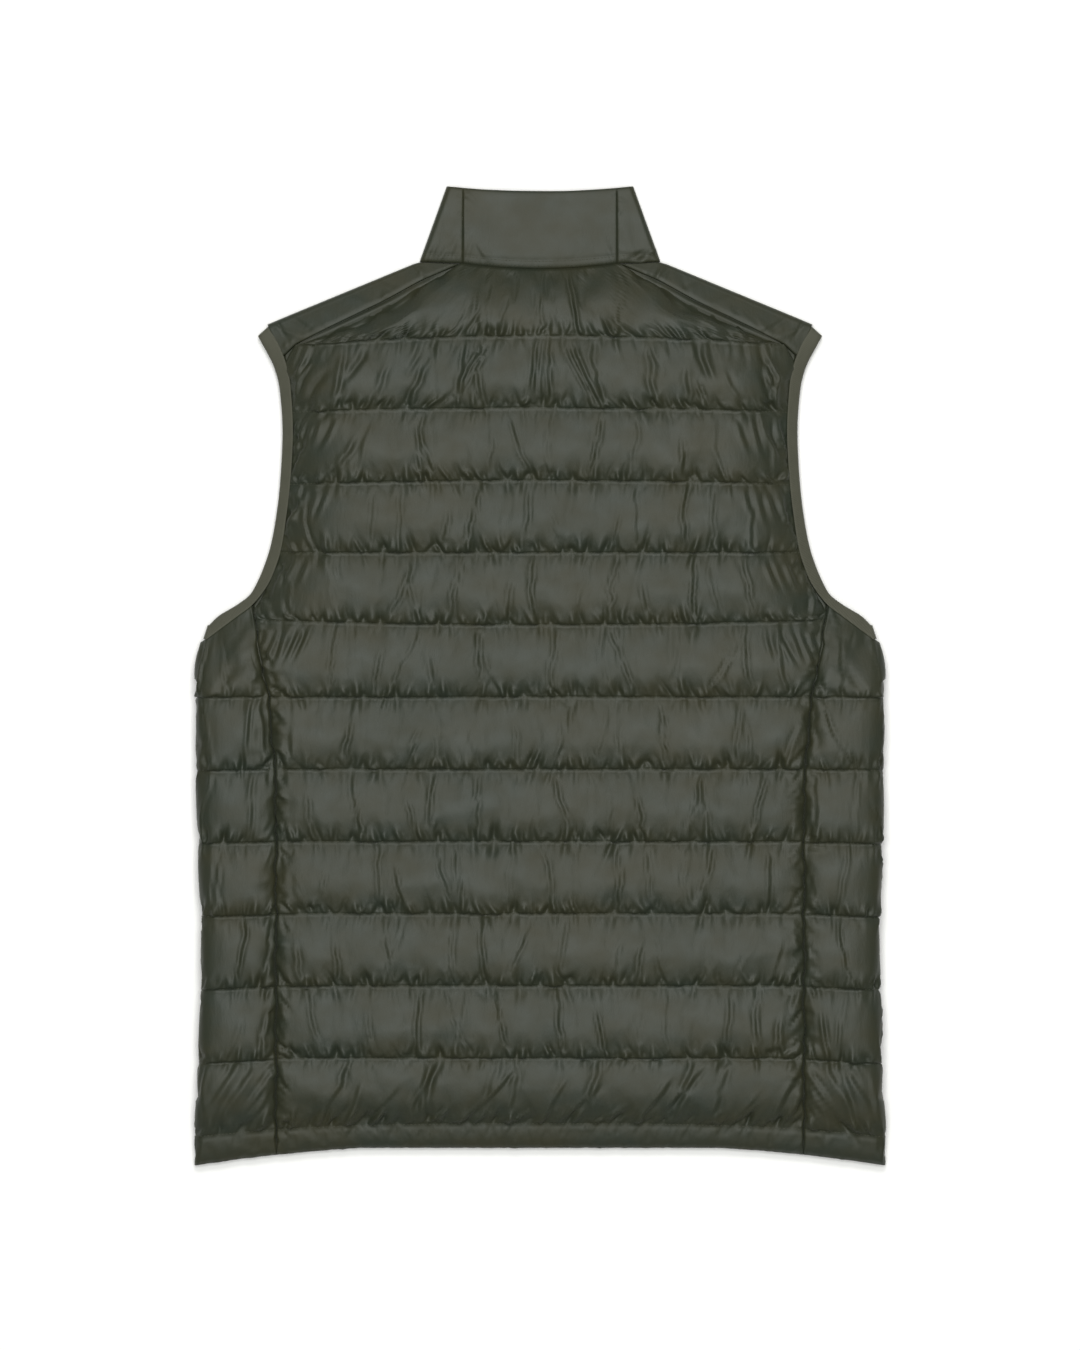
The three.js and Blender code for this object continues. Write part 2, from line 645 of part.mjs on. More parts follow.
piece('back_panel', wall(backPanelRows()), shell);
pair('side_panel', sidePanelRows(), shell);
pair('front_panel', frontPanelRows(), shell);
pair('shoulder_yoke', yokeRows(), shell);
piece('collar_back', wall(collarBackRows()), shell);
pair('collar_side', collarSideRows(), shell);
pair('armhole_binding', bindingRows(), trim, true);
pair('zip', zipRows(), trim);
piece('zip_slider', sliderGeometry(), metal);
piece('zip_pull', pullGeometry(), metal);

export default vest;
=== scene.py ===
"""Quilted puffer vest, laid flat on its front with its back upwards.

Lengths in the pattern are millimetres, and every mesh is made in metres. +Z is up, +Y runs from
the hem to the collar and +X is the wearer's right-hand side. The padded panels are inflated by
cloth simulation from the cut pattern, and the smooth pieces are shells with listed creases.
"""

import logging
import math
from dataclasses import dataclass, field
from collections.abc import Callable
from enum import Enum

import bpy
import numpy as np
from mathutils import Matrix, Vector

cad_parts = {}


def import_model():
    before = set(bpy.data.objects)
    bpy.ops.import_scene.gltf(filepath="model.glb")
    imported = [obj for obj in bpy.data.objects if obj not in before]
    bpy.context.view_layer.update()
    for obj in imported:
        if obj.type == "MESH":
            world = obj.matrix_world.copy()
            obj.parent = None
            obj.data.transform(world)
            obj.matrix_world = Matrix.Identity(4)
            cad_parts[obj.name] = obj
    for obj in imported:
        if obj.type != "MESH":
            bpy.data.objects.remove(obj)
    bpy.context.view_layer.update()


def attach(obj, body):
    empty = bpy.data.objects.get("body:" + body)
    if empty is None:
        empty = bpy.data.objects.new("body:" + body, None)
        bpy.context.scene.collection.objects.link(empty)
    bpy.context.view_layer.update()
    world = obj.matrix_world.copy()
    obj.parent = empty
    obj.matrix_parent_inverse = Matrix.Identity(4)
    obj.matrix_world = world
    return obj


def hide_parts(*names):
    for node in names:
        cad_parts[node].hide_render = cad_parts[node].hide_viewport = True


LOG = logging.getLogger("vest")
MM = 0.001
BODY = "vest"
PULL_BODY = "pull_tab"

Array = np.ndarray


class Side(Enum):
    """The wearer's two sides; the value is the sign of x."""

    RIGHT = 1
    LEFT = -1

    @property
    def word(self) -> str:
        """The side as a suffix of a piece's name."""
        return self.name.lower()


class Ply(Enum):
    """The two layers of the laid-out vest."""

    UPPER = 1
    LOWER = 0


def lerp(a: Array | float, b: Array | float, t: Array | float) -> Array | float:
    """Straight blend from a to b."""
    return a + (b - a) * t


def swell(share: Array | float) -> Array | float:
    """Quarter sine from 0 to 1, flat past 1."""
    return np.sin(np.clip(share, 0, 1) * math.pi / 2)


def line_x(line: list[tuple[float, float]], y: Array | float) -> Array | float:
    """x of a line of (x, y) points with rising y, at height y."""
    points = np.array(line)
    return np.interp(y, points[:, 1], points[:, 0])


def line_y(line: list[tuple[float, float]], x: Array | float) -> Array | float:
    """y of a line of (x, y) points with rising x, at x."""
    points = np.array(line)
    return np.interp(x, points[:, 0], points[:, 1])


def distance_to(line: list[tuple[float, float]], x: Array, y: Array) -> Array:
    """Distance in plan from points to a line.

    Args:
        line: the line's (x, y) points.
        x: the points' x.
        y: the points' y.

    Returns:
        The distance of each point.
    """
    best = np.full(np.shape(x), np.inf)
    for (ax, ay), (bx, by) in zip(line, line[1:]):
        span = (bx - ax) ** 2 + (by - ay) ** 2
        t = np.clip(((x - ax) * (bx - ax) + (y - ay) * (by - ay)) / span, 0, 1)
        best = np.minimum(best, np.hypot(x - lerp(ax, bx, t), y - lerp(ay, by, t)))
    return best


@dataclass(frozen=True)
class Pattern:
    """The vest's cut: its outline, its rows of stitching and its loft, in millimetres."""

    crown_loft: float = 16.0
    edge_loft: float = 4.4
    pinch: float = 2.4
    layer_gap: float = 0.4
    seam_gap: float = 0.3
    edge_gap: float = 0.06
    seam_step: float = 4.0
    groove_share: float = 0.4
    quilt_top: float = 275.4
    quilt_pitch: float = 58.65
    quilt_rows: int = 11
    row_drop: tuple[float, ...] = (7, 3, 3, 0, -3)
    side_rows_from: int = 5
    hem_stitch: tuple[float, float] = (-365, -376)
    hem_edge: tuple[float, float] = (-385, -399.5)
    hem_flat: float = 146
    casing_loft: float = 4
    casing_rise: float = 3.2
    fold_x: float = 281.5
    waist_inset: float = 4
    waist_y: float = -225
    notch: float = 2.6
    neck_half: float = 98
    neck_seam: tuple[float, float, float] = (331, 335.5, 337)
    collar_half: float = 76
    collar_top: tuple[float, float] = (394, 398)
    collar_seam_x: float = 62.6
    collar_wall: float = 4.1
    collar_front_drop: float = 72
    collar_front_length: float = 118
    front_edge_x: float = 6.5
    front_arm_cut: float = 1.8
    shoulder_tip: tuple[float, float] = (224, 285)
    hem_reach: float = 75
    armhole_reach: float = 58
    shoulder_reach: float = 60
    seam_reach: float = 10
    zip_flat: float = 9
    side_seam: tuple = ((214.5, -400), (214.5, -101), (216, -69), (220, -22), (226, 14), (234, 57))
    armhole_inner: tuple = (
        (224.5, 70), (214.5, 92), (206.8, 133), (202.9, 173), (201.9, 200), (203, 224), (204.8, 242), (208, 255),
    )
    yoke_seam: tuple = ((209, 260), (199, 269.4), (170.7, 283.5), (128, 304), (96.5, 321.5), (65, 335.3))
    armhole_outer: tuple = (
        (269.5, 40.5), (262, 47.8), (247, 57), (237, 64.5), (231, 74), (222, 96), (214, 135),
        (210.5, 174), (209.7, 200), (211, 223), (213.3, 240), (217, 252), (222, 262), (229.3, 275.2),
    )
    front_neck: tuple = ((6.5, 266), (15.5, 266.6), (45, 273.5), (75, 290), (92.5, 311.5), (97.2, 336.5))
    front_yoke_seam: tuple = ((92.5, 311.5), (207, 266))
    underarm: tuple = ((233.5, 58.2), (275, 27))
    shoulder_end: tuple = ((213, 268), (220.8, 281.5))

    @property
    def seam_lip(self) -> Array:
        """Distances from a side seam of the points that roll down into it."""
        return np.array([0.0, 0.9, 2.1])

    def waver(self, y: Array | float) -> Array | float:
        """How far the side seams wander sideways below the armhole."""
        sway = 0.55 * np.sin(y / 9.7) + 0.45 * np.sin(y / 4.1 + 1.3) + 0.35 * np.sin(y / 2.3 + np.sin(y / 17))
        return sway * np.clip((50 - y) / 20, 0, 1) * np.clip((y + 375) / 15, 0, 1)

    def hem_edge_y(self, x: Array | float) -> Array | float:
        """Height of the hem edge across the vest."""
        t = np.clip((np.abs(x) - self.hem_flat) / (self.fold_x - self.hem_flat), 0, 1)
        return lerp(self.hem_edge[0], self.hem_edge[1], t * lerp(t, 1, 0.55))

    def hem_stitch_y(self, x: Array | float) -> Array | float:
        """Height of the stitching that closes the hem casing."""
        return lerp(self.hem_stitch[0], self.hem_stitch[1], (np.abs(x) / self.fold_x) ** 3)

    def quilt_y(self, k: int, x: Array | float) -> Array | float:
        """Height of stitch row k across the vest."""
        drop = self.row_drop[k] if k < len(self.row_drop) else 0
        lower = 0.0
        if k >= self.side_rows_from:
            lower = 0.9 * (k - self.side_rows_from) * np.clip((np.abs(x) - 190) / 90, 0, 1)
        return self.quilt_top - k * self.quilt_pitch - drop * (np.abs(x) / 200) ** 2 - lower

    def neck_seam_y(self, x: Array | float) -> Array | float:
        """Height of the seam between body and collar."""
        centre, seam, corner = self.neck_seam
        reach = np.abs(x)
        inner = lerp(centre, seam, (reach / self.collar_seam_x) ** 2)
        t = np.clip((reach - self.collar_seam_x) / (self.neck_half - self.collar_seam_x), 0, 1)
        return np.where(reach < self.collar_seam_x, inner, lerp(seam, corner, t))

    def collar_top_y(self, x: Array | float) -> Array | float:
        """Height of the collar's top edge on the back."""
        return lerp(self.collar_top[0], self.collar_top[1], (np.abs(x) / self.collar_half) ** 2)

    def side_fold_x(self, y: Array | float) -> Array | float:
        """Half width of the vest at its side fold."""
        waist = self.waist_inset * np.exp(-(((y - self.waist_y) / 95) ** 2))
        return self.fold_x - waist - 7 * np.clip((y - 2) / 28, 0, 1) ** 2.5

    def underarm_y(self, x: Array | float) -> Array | float:
        """Height of the side panel's top edge."""
        return line_y(self.underarm, x)

    def loft(self, x: Array, y: Array) -> Array:
        """Thickness of one layer where its channels are full."""
        reach = np.abs(x)
        neck = [(0, self.neck_seam[0]), (self.neck_half, self.neck_seam[2]), self.shoulder_tip]
        hem = swell((y - self.hem_edge_y(x)) / self.hem_reach)
        arm = swell(distance_to(self.armhole_outer, reach, y) / self.armhole_reach)
        shoulder = swell(distance_to(neck, reach, y) / self.shoulder_reach)
        full = self.edge_loft + (self.crown_loft - self.edge_loft) * hem * arm * shoulder
        in_collar = (reach < self.neck_half) & (y > self.neck_seam_y(x))
        return np.where(in_collar, self.edge_loft, full)

    def layer(self, ply: Ply, full: Array, thickness: Array) -> tuple[Array, Array]:
        """Lower and upper face of a layer of some thickness."""
        base = (full + self.layer_gap) * ply.value
        low = base + np.maximum(0, full - thickness) * self.groove_share
        return low, low + thickness

    def quilted(self, full: Array, fullness: Array) -> Array:
        """Thickness of a quilted layer from how full its channel is."""
        return self.pinch + (full - self.pinch) * fullness


@dataclass(frozen=True)
class Crease:
    """One given crease: a soft trough or ridge across a surface, in plan.

    Attributes:
        x, y: middle of the crease.
        length: half length over which it fades.
        width: half width.
        height: how far it stands up, or how deep it is where negative.
        lean: degrees that it leans from the Y axis, towards +X.
    """

    x: float
    y: float
    length: float
    width: float
    height: float
    lean: float = 0.0

    def at(self, x: Array, y: Array) -> Array:
        """Height that the crease adds at plan points."""
        c = math.cos(math.radians(self.lean))
        s = math.sin(math.radians(self.lean))
        dx = x - self.x
        dy = y - self.y
        along = dx * s + dy * c
        across = dx * c - dy * s
        return self.height * np.exp(-((across / self.width) ** 2) - (along / self.length) ** 2)


def fold_along(path: list[tuple[float, float]], width: float, height: float, trough: float = 0.0) -> list[Crease]:
    """Creases that follow a path across the cloth.

    Args:
        path: points of the path.
        width: half width of the fold.
        height: how far it stands up, or how deep it is where negative.
        trough: distance to a matching hollow beside it, or 0 for none.

    Returns:
        The creases, in order along the path.
    """
    creases = []
    for (ax, ay), (bx, by) in zip(path, path[1:]):
        run = math.hypot(bx - ax, by - ay)
        lean = math.degrees(math.atan2(bx - ax, by - ay))
        pieces = max(1, round(run / 8))
        for i in range(pieces):
            t = (i + 0.5) / pieces
            x = ax + (bx - ax) * t
            y = ay + (by - ay) * t
            reach = 0.95 * run / pieces
            creases.append(Crease(x, y, reach, width, height, lean))
            if trough:
                creases.append(Crease(x + trough, y, reach, width * 1.1, -0.9 * height, lean))
    return creases


@dataclass(frozen=True)
class ChannelRow:
    """One row of points through a channel.

    Attributes:
        level: how far up the row is, as stitch row and share of the channel above it.
        low: the stitch row below, or None for the hem edge.
        share: position from the stitch row below to the one above.
        casing: thickness where the row is in the hem casing, or 0.
        on_stitch: whether the row is sewn down.
    """

    k: int
    share: float
    casing: float
    on_stitch: bool


@dataclass(frozen=True)
class Channels:
    """The rows of points of a quilted piece, from the hem edge up.

    Attributes:
        pattern: the vest's pattern.
        first_row: its highest stitch row.
        top: its top edge, which is "neck", "underarm" or "front".
        per_channel: rows of points in a channel.
        per_casing: rows of points in the hem casing.
        gather: how much closer together the rows are beside the stitching.
    """

    pattern: Pattern
    first_row: int
    top: str
    per_channel: int
    per_casing: int
    gather: float = 0.55

    def rows(self) -> list[ChannelRow]:
        """All rows of the piece, in order."""
        p = self.pattern
        rows = []
        for i in range(self.per_casing):
            t = i / self.per_casing
            thickness = 3 + (p.casing_loft - 3) * math.sin(min(1.0, t * 2.5) * math.pi / 2)
            thickness += p.casing_rise * (1 - t) * min(1.0, t * 6)
            rows.append(ChannelRow(-1, t, thickness, i == 0))
        for k in range(p.quilt_rows, self.first_row - 1, -1):
            rows += [ChannelRow(k, self.share(i), 0.0, i == 0) for i in range(self.per_channel)]
        rows.append(ChannelRow(self.first_row, 1.0, 0.0, True))
        return rows

    def share(self, i: int) -> float:
        """Position of row i through a channel, closer together beside the stitching."""
        even = i / self.per_channel
        return lerp(even, 0.5 - 0.5 * math.cos(math.pi * even), self.gather)

    def row_y(self, row: ChannelRow, x: Array | float) -> Array | float:
        """Height of a row across the vest."""
        p = self.pattern
        if row.k < 0:
            return lerp(p.hem_edge_y(x), p.hem_stitch_y(x), row.share)
        low = p.hem_stitch_y(x) if row.k == p.quilt_rows else p.quilt_y(row.k, x)
        high = self.top_y(x) if row.k == self.first_row else p.quilt_y(row.k - 1, x)
        return lerp(low, high, row.share)

    def top_y(self, x: Array | float) -> Array | float:
        """Height of the piece's top edge."""
        p = self.pattern
        if self.top == "neck":
            return p.neck_seam_y(x) - p.seam_gap
        if self.top == "underarm":
            return p.underarm_y(x) - p.seam_gap
        neck = line_y(p.front_neck, x)
        yoke = line_y(p.front_yoke_seam, x)
        return np.where(np.abs(x) < p.front_yoke_seam[0][0], neck, yoke) - p.seam_gap

    def meet(self, row: ChannelRow, edge: tuple, inset: float) -> float:
        """x where a row meets a cut edge on the right-hand side."""
        x = 200.0
        for _ in range(6):
            x = float(line_x(edge, self.row_y(row, x))) - inset
        return x


def dome(share: float) -> float:
    """Rounded profile of a channel from one stitch row to the next."""
    return math.sqrt(max(0.0, 1 - (2 * share - 1) ** 2))


@dataclass
class Inflation:
    """Cloth simulation that fills a sewn panel and lets its slack cloth pucker.

    Attributes:
        slack: extra cloth at the crowns, as a share of its length.
        slack_at_seam: extra cloth beside the stitching.
        pressure: how hard the filling pushes.
        bending: stiffness against bending.
        steps: frames that are simulated.
        quality: solver steps in each frame.
        reach: how far a point may move, in millimetres.
    """

    slack: float = 0.012
    slack_at_seam: float = 0.08
    pressure: float = 5.0
    bending: float = 3.0
    steps: int = 16
    quality: int = 5
    reach: float = 6.5

    def run(self, grid: Array, faces_up: Array, pinned: Array, near_seam: Array) -> Array:
        """Simulates a grid of points.

        Args:
            grid: points in millimetres, rows by columns by 3.
            faces_up: quads, as indices of the flattened grid.
            pinned: points that are sewn down, as a boolean grid.
            near_seam: how near each point is to a seam, from 0 to 1.

        Returns:
            The points after the simulation, in millimetres.
        """
        rows, columns = pinned.shape
        mesh = bpy.data.meshes.new("inflating")
        mesh.from_pydata((grid.reshape(-1, 3) * MM).tolist(), [], faces_up.tolist())
        cloth = bpy.data.objects.new("inflating", mesh)
        bpy.context.scene.collection.objects.link(cloth)
        pins = cloth.vertex_groups.new(name="pins")
        pins.add(np.nonzero(pinned.ravel())[0].tolist(), 1.0, "REPLACE")
        seams = cloth.vertex_groups.new(name="seams")
        steps = np.round(near_seam.ravel() * 8).astype(int)
        for step in range(1, 9):
            seams.add(np.nonzero(steps == step)[0].tolist(), step / 8, "REPLACE")
        modifier = cloth.modifiers.new("fill", "CLOTH")
        self.adjust(modifier.settings)
        modifier.collision_settings.use_collision = False
        modifier.point_cache.frame_start = 1
        modifier.point_cache.frame_end = self.steps + 1
        for frame in range(1, self.steps + 1):
            bpy.context.scene.frame_set(frame)
        shaped = cloth.evaluated_get(bpy.context.evaluated_depsgraph_get())
        flat = np.zeros(rows * columns * 3)
        shaped.data.vertices.foreach_get("co", flat)
        bpy.data.objects.remove(cloth)
        bpy.data.meshes.remove(mesh)
        bpy.context.scene.frame_set(1)
        moved = flat.reshape(rows, columns, 3) / MM - grid
        far = np.linalg.norm(moved, axis=-1, keepdims=True)
        return grid + moved * np.minimum(1.0, self.reach / np.maximum(far, 1e-9))

    def adjust(self, settings: bpy.types.ClothSettings) -> None:
        """Sets the cloth's stiffness, slack and pressure."""
        settings.quality = self.quality
        settings.mass = 0.15
        settings.tension_stiffness = 30
        settings.compression_stiffness = 30
        settings.shear_stiffness = 5
        settings.bending_stiffness = self.bending
        settings.air_damping = 2
        settings.vertex_group_mass = "pins"
        settings.vertex_group_shrink = "seams"
        settings.shrink_min = -self.slack
        settings.shrink_max = -self.slack_at_seam
        settings.use_pressure = True
        settings.uniform_pressure_force = self.pressure
        settings.effector_weights.gravity = 0


def grid_quads(rows: int, columns: int, closed: bool = False) -> Array:
    """Quads of a grid of points, counter-clockwise for rising rows and columns."""
    index = np.arange(rows * columns).reshape(rows, columns)
    if closed:
        index = np.vstack([index, index[:1]])
    return np.stack([index[:-1, :-1], index[:-1, 1:], index[1:, 1:], index[1:, :-1]], -1).reshape(-1, 4)


def closed_wall(name: str, outer: Array, inner: Array, ring: bool = False) -> bpy.types.Object:
    """A closed wall between two grids of matching points.

    Args:
        name: the piece's name.
        outer: points of the outside, in millimetres, rows by columns by 3.
        inner: points of the inside.
        ring: whether the last row joins the first.

    Returns:
        The new object, with its faces outwards.
    """
    rows, columns = outer.shape[:2]
    size = rows * columns
    top = grid_quads(rows, columns, ring)
    faces = [top, top[:, ::-1] + size]
    index = np.arange(size).reshape(rows, columns)
    if ring:
        index = np.vstack([index, index[:1]])
    for edge, flip in ((index[:, 0], False), (index[:, -1], True)):
        strip = np.stack([edge[:-1], edge[1:], edge[1:] + size, edge[:-1] + size], -1)
        faces.append(strip[:, ::-1] if flip else strip)
    if not ring:
        for edge, flip in ((index[0], True), (index[-1], False)):
            strip = np.stack([edge[:-1], edge[1:], edge[1:] + size, edge[:-1] + size], -1)
            faces.append(strip[:, ::-1] if flip else strip)
    points = np.vstack([outer.reshape(-1, 3), inner.reshape(-1, 3)]) * MM
    quads = np.vstack(faces)
    if signed_volume(points, quads) < 0:
        quads = quads[:, ::-1]
    return new_piece(name, points, quads)


def signed_volume(points: Array, quads: Array) -> float:
    """Volume inside closed quads, negative where they face inwards."""
    a, b, c, d = (points[quads[:, i]] for i in range(4))
    total = np.einsum("ij,ij->i", a, np.cross(b, c)) + np.einsum("ij,ij->i", a, np.cross(c, d))
    return float(total.sum())


def new_piece(name: str, points: Array, faces: Array) -> bpy.types.Object:
    """A smooth-shaded object from points in metres and faces."""
    mesh = bpy.data.meshes.new(name)
    mesh.from_pydata(points.tolist(), [], faces.tolist())
    mesh.polygons.foreach_set("use_smooth", [True] * len(mesh.polygons))
    mesh.update()
    piece = bpy.data.objects.new(name, mesh)
    bpy.context.scene.collection.objects.link(piece)
    return piece


def apply_modifier(piece: bpy.types.Object, modifier: bpy.types.Modifier) -> None:
    """Applies one modifier."""
    bpy.ops.object.select_all(action="DESELECT")
    piece.select_set(True)
    bpy.context.view_layer.objects.active = piece
    bpy.ops.object.modifier_apply(modifier=modifier.name)


def thin_lining(piece: bpy.types.Object, rows: int, columns: int, ratio: float) -> None:
    """Merges most faces of a panel's hidden inner face, and leaves its outside and rim alone.

    Args:
        piece: a closed wall, with its inner points after its outer ones.
        rows: rows of its grid.
        columns: columns of its grid.
        ratio: share of all faces that is kept.
    """
    index = np.arange(rows * columns).reshape(rows, columns)[1:-1, 1:-1] + rows * columns
    inside = piece.vertex_groups.new(name="lining")
    inside.add(index.ravel().tolist(), 1.0, "REPLACE")
    modifier = piece.modifiers.new("thin", "DECIMATE")
    modifier.ratio = ratio
    modifier.vertex_group = inside.name
    modifier.use_collapse_triangulate = True
    apply_modifier(piece, modifier)
    piece.vertex_groups.clear()


@dataclass(frozen=True)
class Puckers:
    """Seeded creases of a quilted panel, in cloth coordinates.

    Teeth stand above a stitch row, weaker ones hang below it, long thin creases cross a channel,
    and short ones run into the side seams.

    Attributes:
        seed: start of the random numbers.
        teeth_pitch: distance between the teeth above a stitch row.
        tooth_height: spread of their heights.
        hang_height: spread of the heights below a stitch row.
        cross_pitch: distance between the creases that cross a channel.
        cross_height: height of those.
        seam_pitch: distance between the creases at a side seam.
        seams_to: how high up those go.
        spread: spread of the leans, in degrees.
    """

    seed: int
    teeth_pitch: float = 3.6
    tooth_height: float = 1.5
    hang_height: float = 0.42
    cross_pitch: float = 32.0
    cross_height: float = 0.95
    seam_pitch: float = 4.6
    seams_to: float = 215.0
    spread: float = 13.0

    def scatter(self, u: Array, v: Array, sewn: list[int], lean: Array) -> list[Crease]:
        """Teeth and hanging puckers along the stitch rows.

        Args:
            u: distance across the cloth at each grid point.
            v: distance up the cloth at each grid point.
            sewn: grid rows that are sewn down, from low to high.
            lean: middle lean of the creases at each grid point, in degrees.

        Returns:
            The creases, in cloth coordinates.
        """
        rng = np.random.default_rng(self.seed)
        creases = []
        for low, high in zip(sewn, sewn[1:]):
            for at in np.arange(u[low, 0] + 2, u[low, -1] - 2, self.teeth_pitch):
                column = int(np.argmin(np.abs(u[low] - at)))
                size = float(np.clip((v[high, column] - v[low, column]) / 50, 0.05, 1))
                place = float(u[low, column]) + rng.uniform(-2, 2)
                tilt = float(lean[low, column])
                reach = rng.uniform(4, 9) if rng.random() < 0.75 else rng.uniform(9, 16)
                creases.append(Crease(
                    place, float(v[low, column]) + rng.uniform(1, 8) * size, reach * size,
                    rng.uniform(1.3, 2.7), rng.normal(0, self.tooth_height) * size, tilt + rng.normal(0, self.spread),
                ))
                creases.append(Crease(
                    place + rng.uniform(-2, 2), float(v[high, column]) - rng.uniform(0, 6) * size,
                    rng.uniform(3, 8) * size, rng.uniform(1.2, 2.2), rng.normal(0, self.hang_height) * size,
                    tilt + rng.normal(0, self.spread),
                ))
        return creases

    def crossing(self, u: Array, v: Array, sewn: list[int], lean: Array) -> list[Crease]:
        """Thin wavering creases across the channels, each a ridge beside a trough."""
        rng = np.random.default_rng(self.seed + 200)
        creases = []
        for low, high in zip(sewn, sewn[1:]):
            starts = np.arange(u[low, 0] + 6, u[low, -1] - 6, self.cross_pitch)
            for at in starts + rng.uniform(-0.45, 0.45, len(starts)) * self.cross_pitch:
                column = int(np.argmin(np.abs(u[low] - at)))
                depth = float(v[high, column] - v[low, column])
                if depth < 30:
                    continue
                top = float(v[high, column]) - rng.choice([0.02, 0.1, 0.35]) * depth
                bottom = float(v[low, column]) + rng.choice([0.02, 0.1, 0.3]) * depth
                height = self.cross_height * rng.uniform(0.35, 1.25)
                slope = math.tan(math.radians(float(lean[low, column]) * 0.7 + rng.normal(0, 10)))
                width = 1.2 + 0.03 * abs(float(lean[low, column]))
                side = rng.choice([-1, 1])
                wander = rng.normal(0, 1.4)
                for y in np.arange(bottom, top, 7.0):
                    wander += rng.normal(0, 1.4)
                    x = at + slope * (y - bottom) + wander
                    tilt = math.degrees(math.atan(slope)) + rng.normal(0, 9)
                    creases.append(Crease(x, y, 6.5, width, height, tilt))
                    creases.append(Crease(x + side * 1.8 * width, y, 6.5, 1.1 * width, -0.9 * height, tilt))
        return creases

    def beside_seams(self, u: Array, v: Array) -> list[Crease]:
        """Short creases that run into both side seams."""
        rng = np.random.default_rng(self.seed + 400)
        creases = []
        for edge, out in ((0, -1), (-1, 1)):
            for y in np.arange(v[:, edge].min() + 4, min(v[:, edge].max() - 4, self.seams_to), self.seam_pitch):
                row = int(np.argmin(np.abs(v[:, edge] - y)))
                creases.append(Crease(
                    float(u[row, edge]) - out * rng.uniform(3, 8), y + rng.uniform(-2, 2), rng.uniform(4, 9),
                    rng.uniform(1.2, 2.1), rng.normal(0, 1.2), out * (60 + rng.normal(0, 22)),
                ))
        return creases


def rolling_mean(values: Array, reach: int) -> Array:
    """Mean of each row over a window of columns."""
    padded = np.pad(values, ((0, 0), (reach, reach)), mode="edge")
    return sum(padded[:, i:i + values.shape[1]] for i in range(2 * reach + 1)) / (2 * reach + 1)


def outward(grid: Array) -> Array:
    """Unit normals of a grid of points."""
    up = np.gradient(grid, axis=0)
    across = np.gradient(grid, axis=1)
    normal = np.cross(across, up)
    return normal / np.maximum(np.linalg.norm(normal, axis=-1, keepdims=True), 1e-9)


def creased(grid: Array, u: Array, v: Array, creases: list[Crease], mask: Array | float) -> Array:
    """A grid with creases added along its normals.

    Args:
        grid: the points.
        u: distance across the cloth at each point.
        v: distance up the cloth at each point.
        creases: the creases, in cloth coordinates.
        mask: how strongly each point takes them.

    Returns:
        The creased points.
    """
    total = np.zeros(u.shape)
    for crease in creases:
        reach = 2.2 * max(crease.length, crease.width)
        near = (np.abs(u - crease.x) < reach) & (np.abs(v - crease.y) < reach)
        if near.any():
            total[near] += crease.at(u[near], v[near])
    return grid + outward(grid) * (total * mask)[..., None]


def folded_section(
    pattern: Pattern, place: Callable, upper: Array, lower: Array, bend: float, wall: Callable, arc_steps: int
) -> tuple[Array, Array]:
    """Outer and inner points of a section that wraps a fold.

    Args:
        pattern: the vest's pattern.
        place: gives plan x and y for a ply and distances from the fold.
        upper: distances from the fold along the upper ply, falling to the bend.
        lower: distances along the lower ply, rising from the bend.
        bend: distance at which the section leaves the flat.
        wall: gives the wall's thickness from x, y and the distance.
        arc_steps: points round the bend.

    Returns:
        Two arrays of points in millimetres.
    """
    def flat(ply: Ply, runs: Array) -> tuple[Array, Array]:
        """Outer and inner points along one ply."""
        x, y = place(ply, runs)
        low, high = pattern.layer(ply, pattern.loft(x, y), wall(x, y, runs))
        top, bottom = (high, low) if ply is Ply.UPPER else (low, high)
        return np.stack([x, y, top], -1), np.stack([x, y, bottom], -1)

    x, y = place(Ply.UPPER, np.array([bend]))
    full = pattern.loft(x, y)
    low_up, high_up = pattern.layer(Ply.UPPER, full, wall(x, y, np.array([bend])))
    _, high_low = pattern.layer(Ply.LOWER, full, wall(x, y, np.array([bend])))
    middle = float((low_up + high_low)[0] / 2)
    angles = np.linspace(math.pi / 2, -math.pi / 2, arc_steps)
    rounds = []
    for sag, level in ((1.0, float(high_up[0])), (0.12, float(low_up[0]))):
        runs = bend * (1 - sag * np.cos(angles))
        above = place(Ply.UPPER, runs)
        below = place(Ply.LOWER, runs)
        side = angles >= 0
        rounds.append(np.stack([
            np.where(side, above[0], below[0]),
            np.where(side, above[1], below[1]),
            middle + (level - middle) * np.sin(angles),
        ], -1))
    upper_out, upper_in = flat(Ply.UPPER, upper)
    lower_out, lower_in = flat(Ply.LOWER, lower)
    return (
        np.vstack([upper_out, rounds[0], lower_out]),
        np.vstack([upper_in, rounds[1], lower_in]),
    )


@dataclass
class Cloth:
    """A shaped piece of cloth: matching grids of its outside and its inside, in millimetres."""

    name: str
    outer: Array
    inner: Array
    ring: bool = False

    def mirrored(self, side: Side) -> "Cloth":
        """The same piece on one side of the vest, with its outside still outwards."""
        if side is Side.RIGHT:
            return self
        flip = np.array([-1, 1, 1])
        return Cloth(self.name, self.outer[:, ::-1] * flip, self.inner[:, ::-1] * flip, self.ring)

    def area(self) -> float:
        """Area of the outside in square metres."""
        points = self.outer.reshape(-1, 3) * MM
        quads = grid_quads(self.outer.shape[0], self.outer.shape[1], self.ring)
        diagonals = np.cross(points[quads[:, 2]] - points[quads[:, 0]], points[quads[:, 3]] - points[quads[:, 1]])
        return float(np.linalg.norm(diagonals, axis=1).sum() / 2)

    def piece(self) -> bpy.types.Object:
        """The closed mesh of the piece."""
        return closed_wall(self.name, self.outer, self.inner, self.ring)


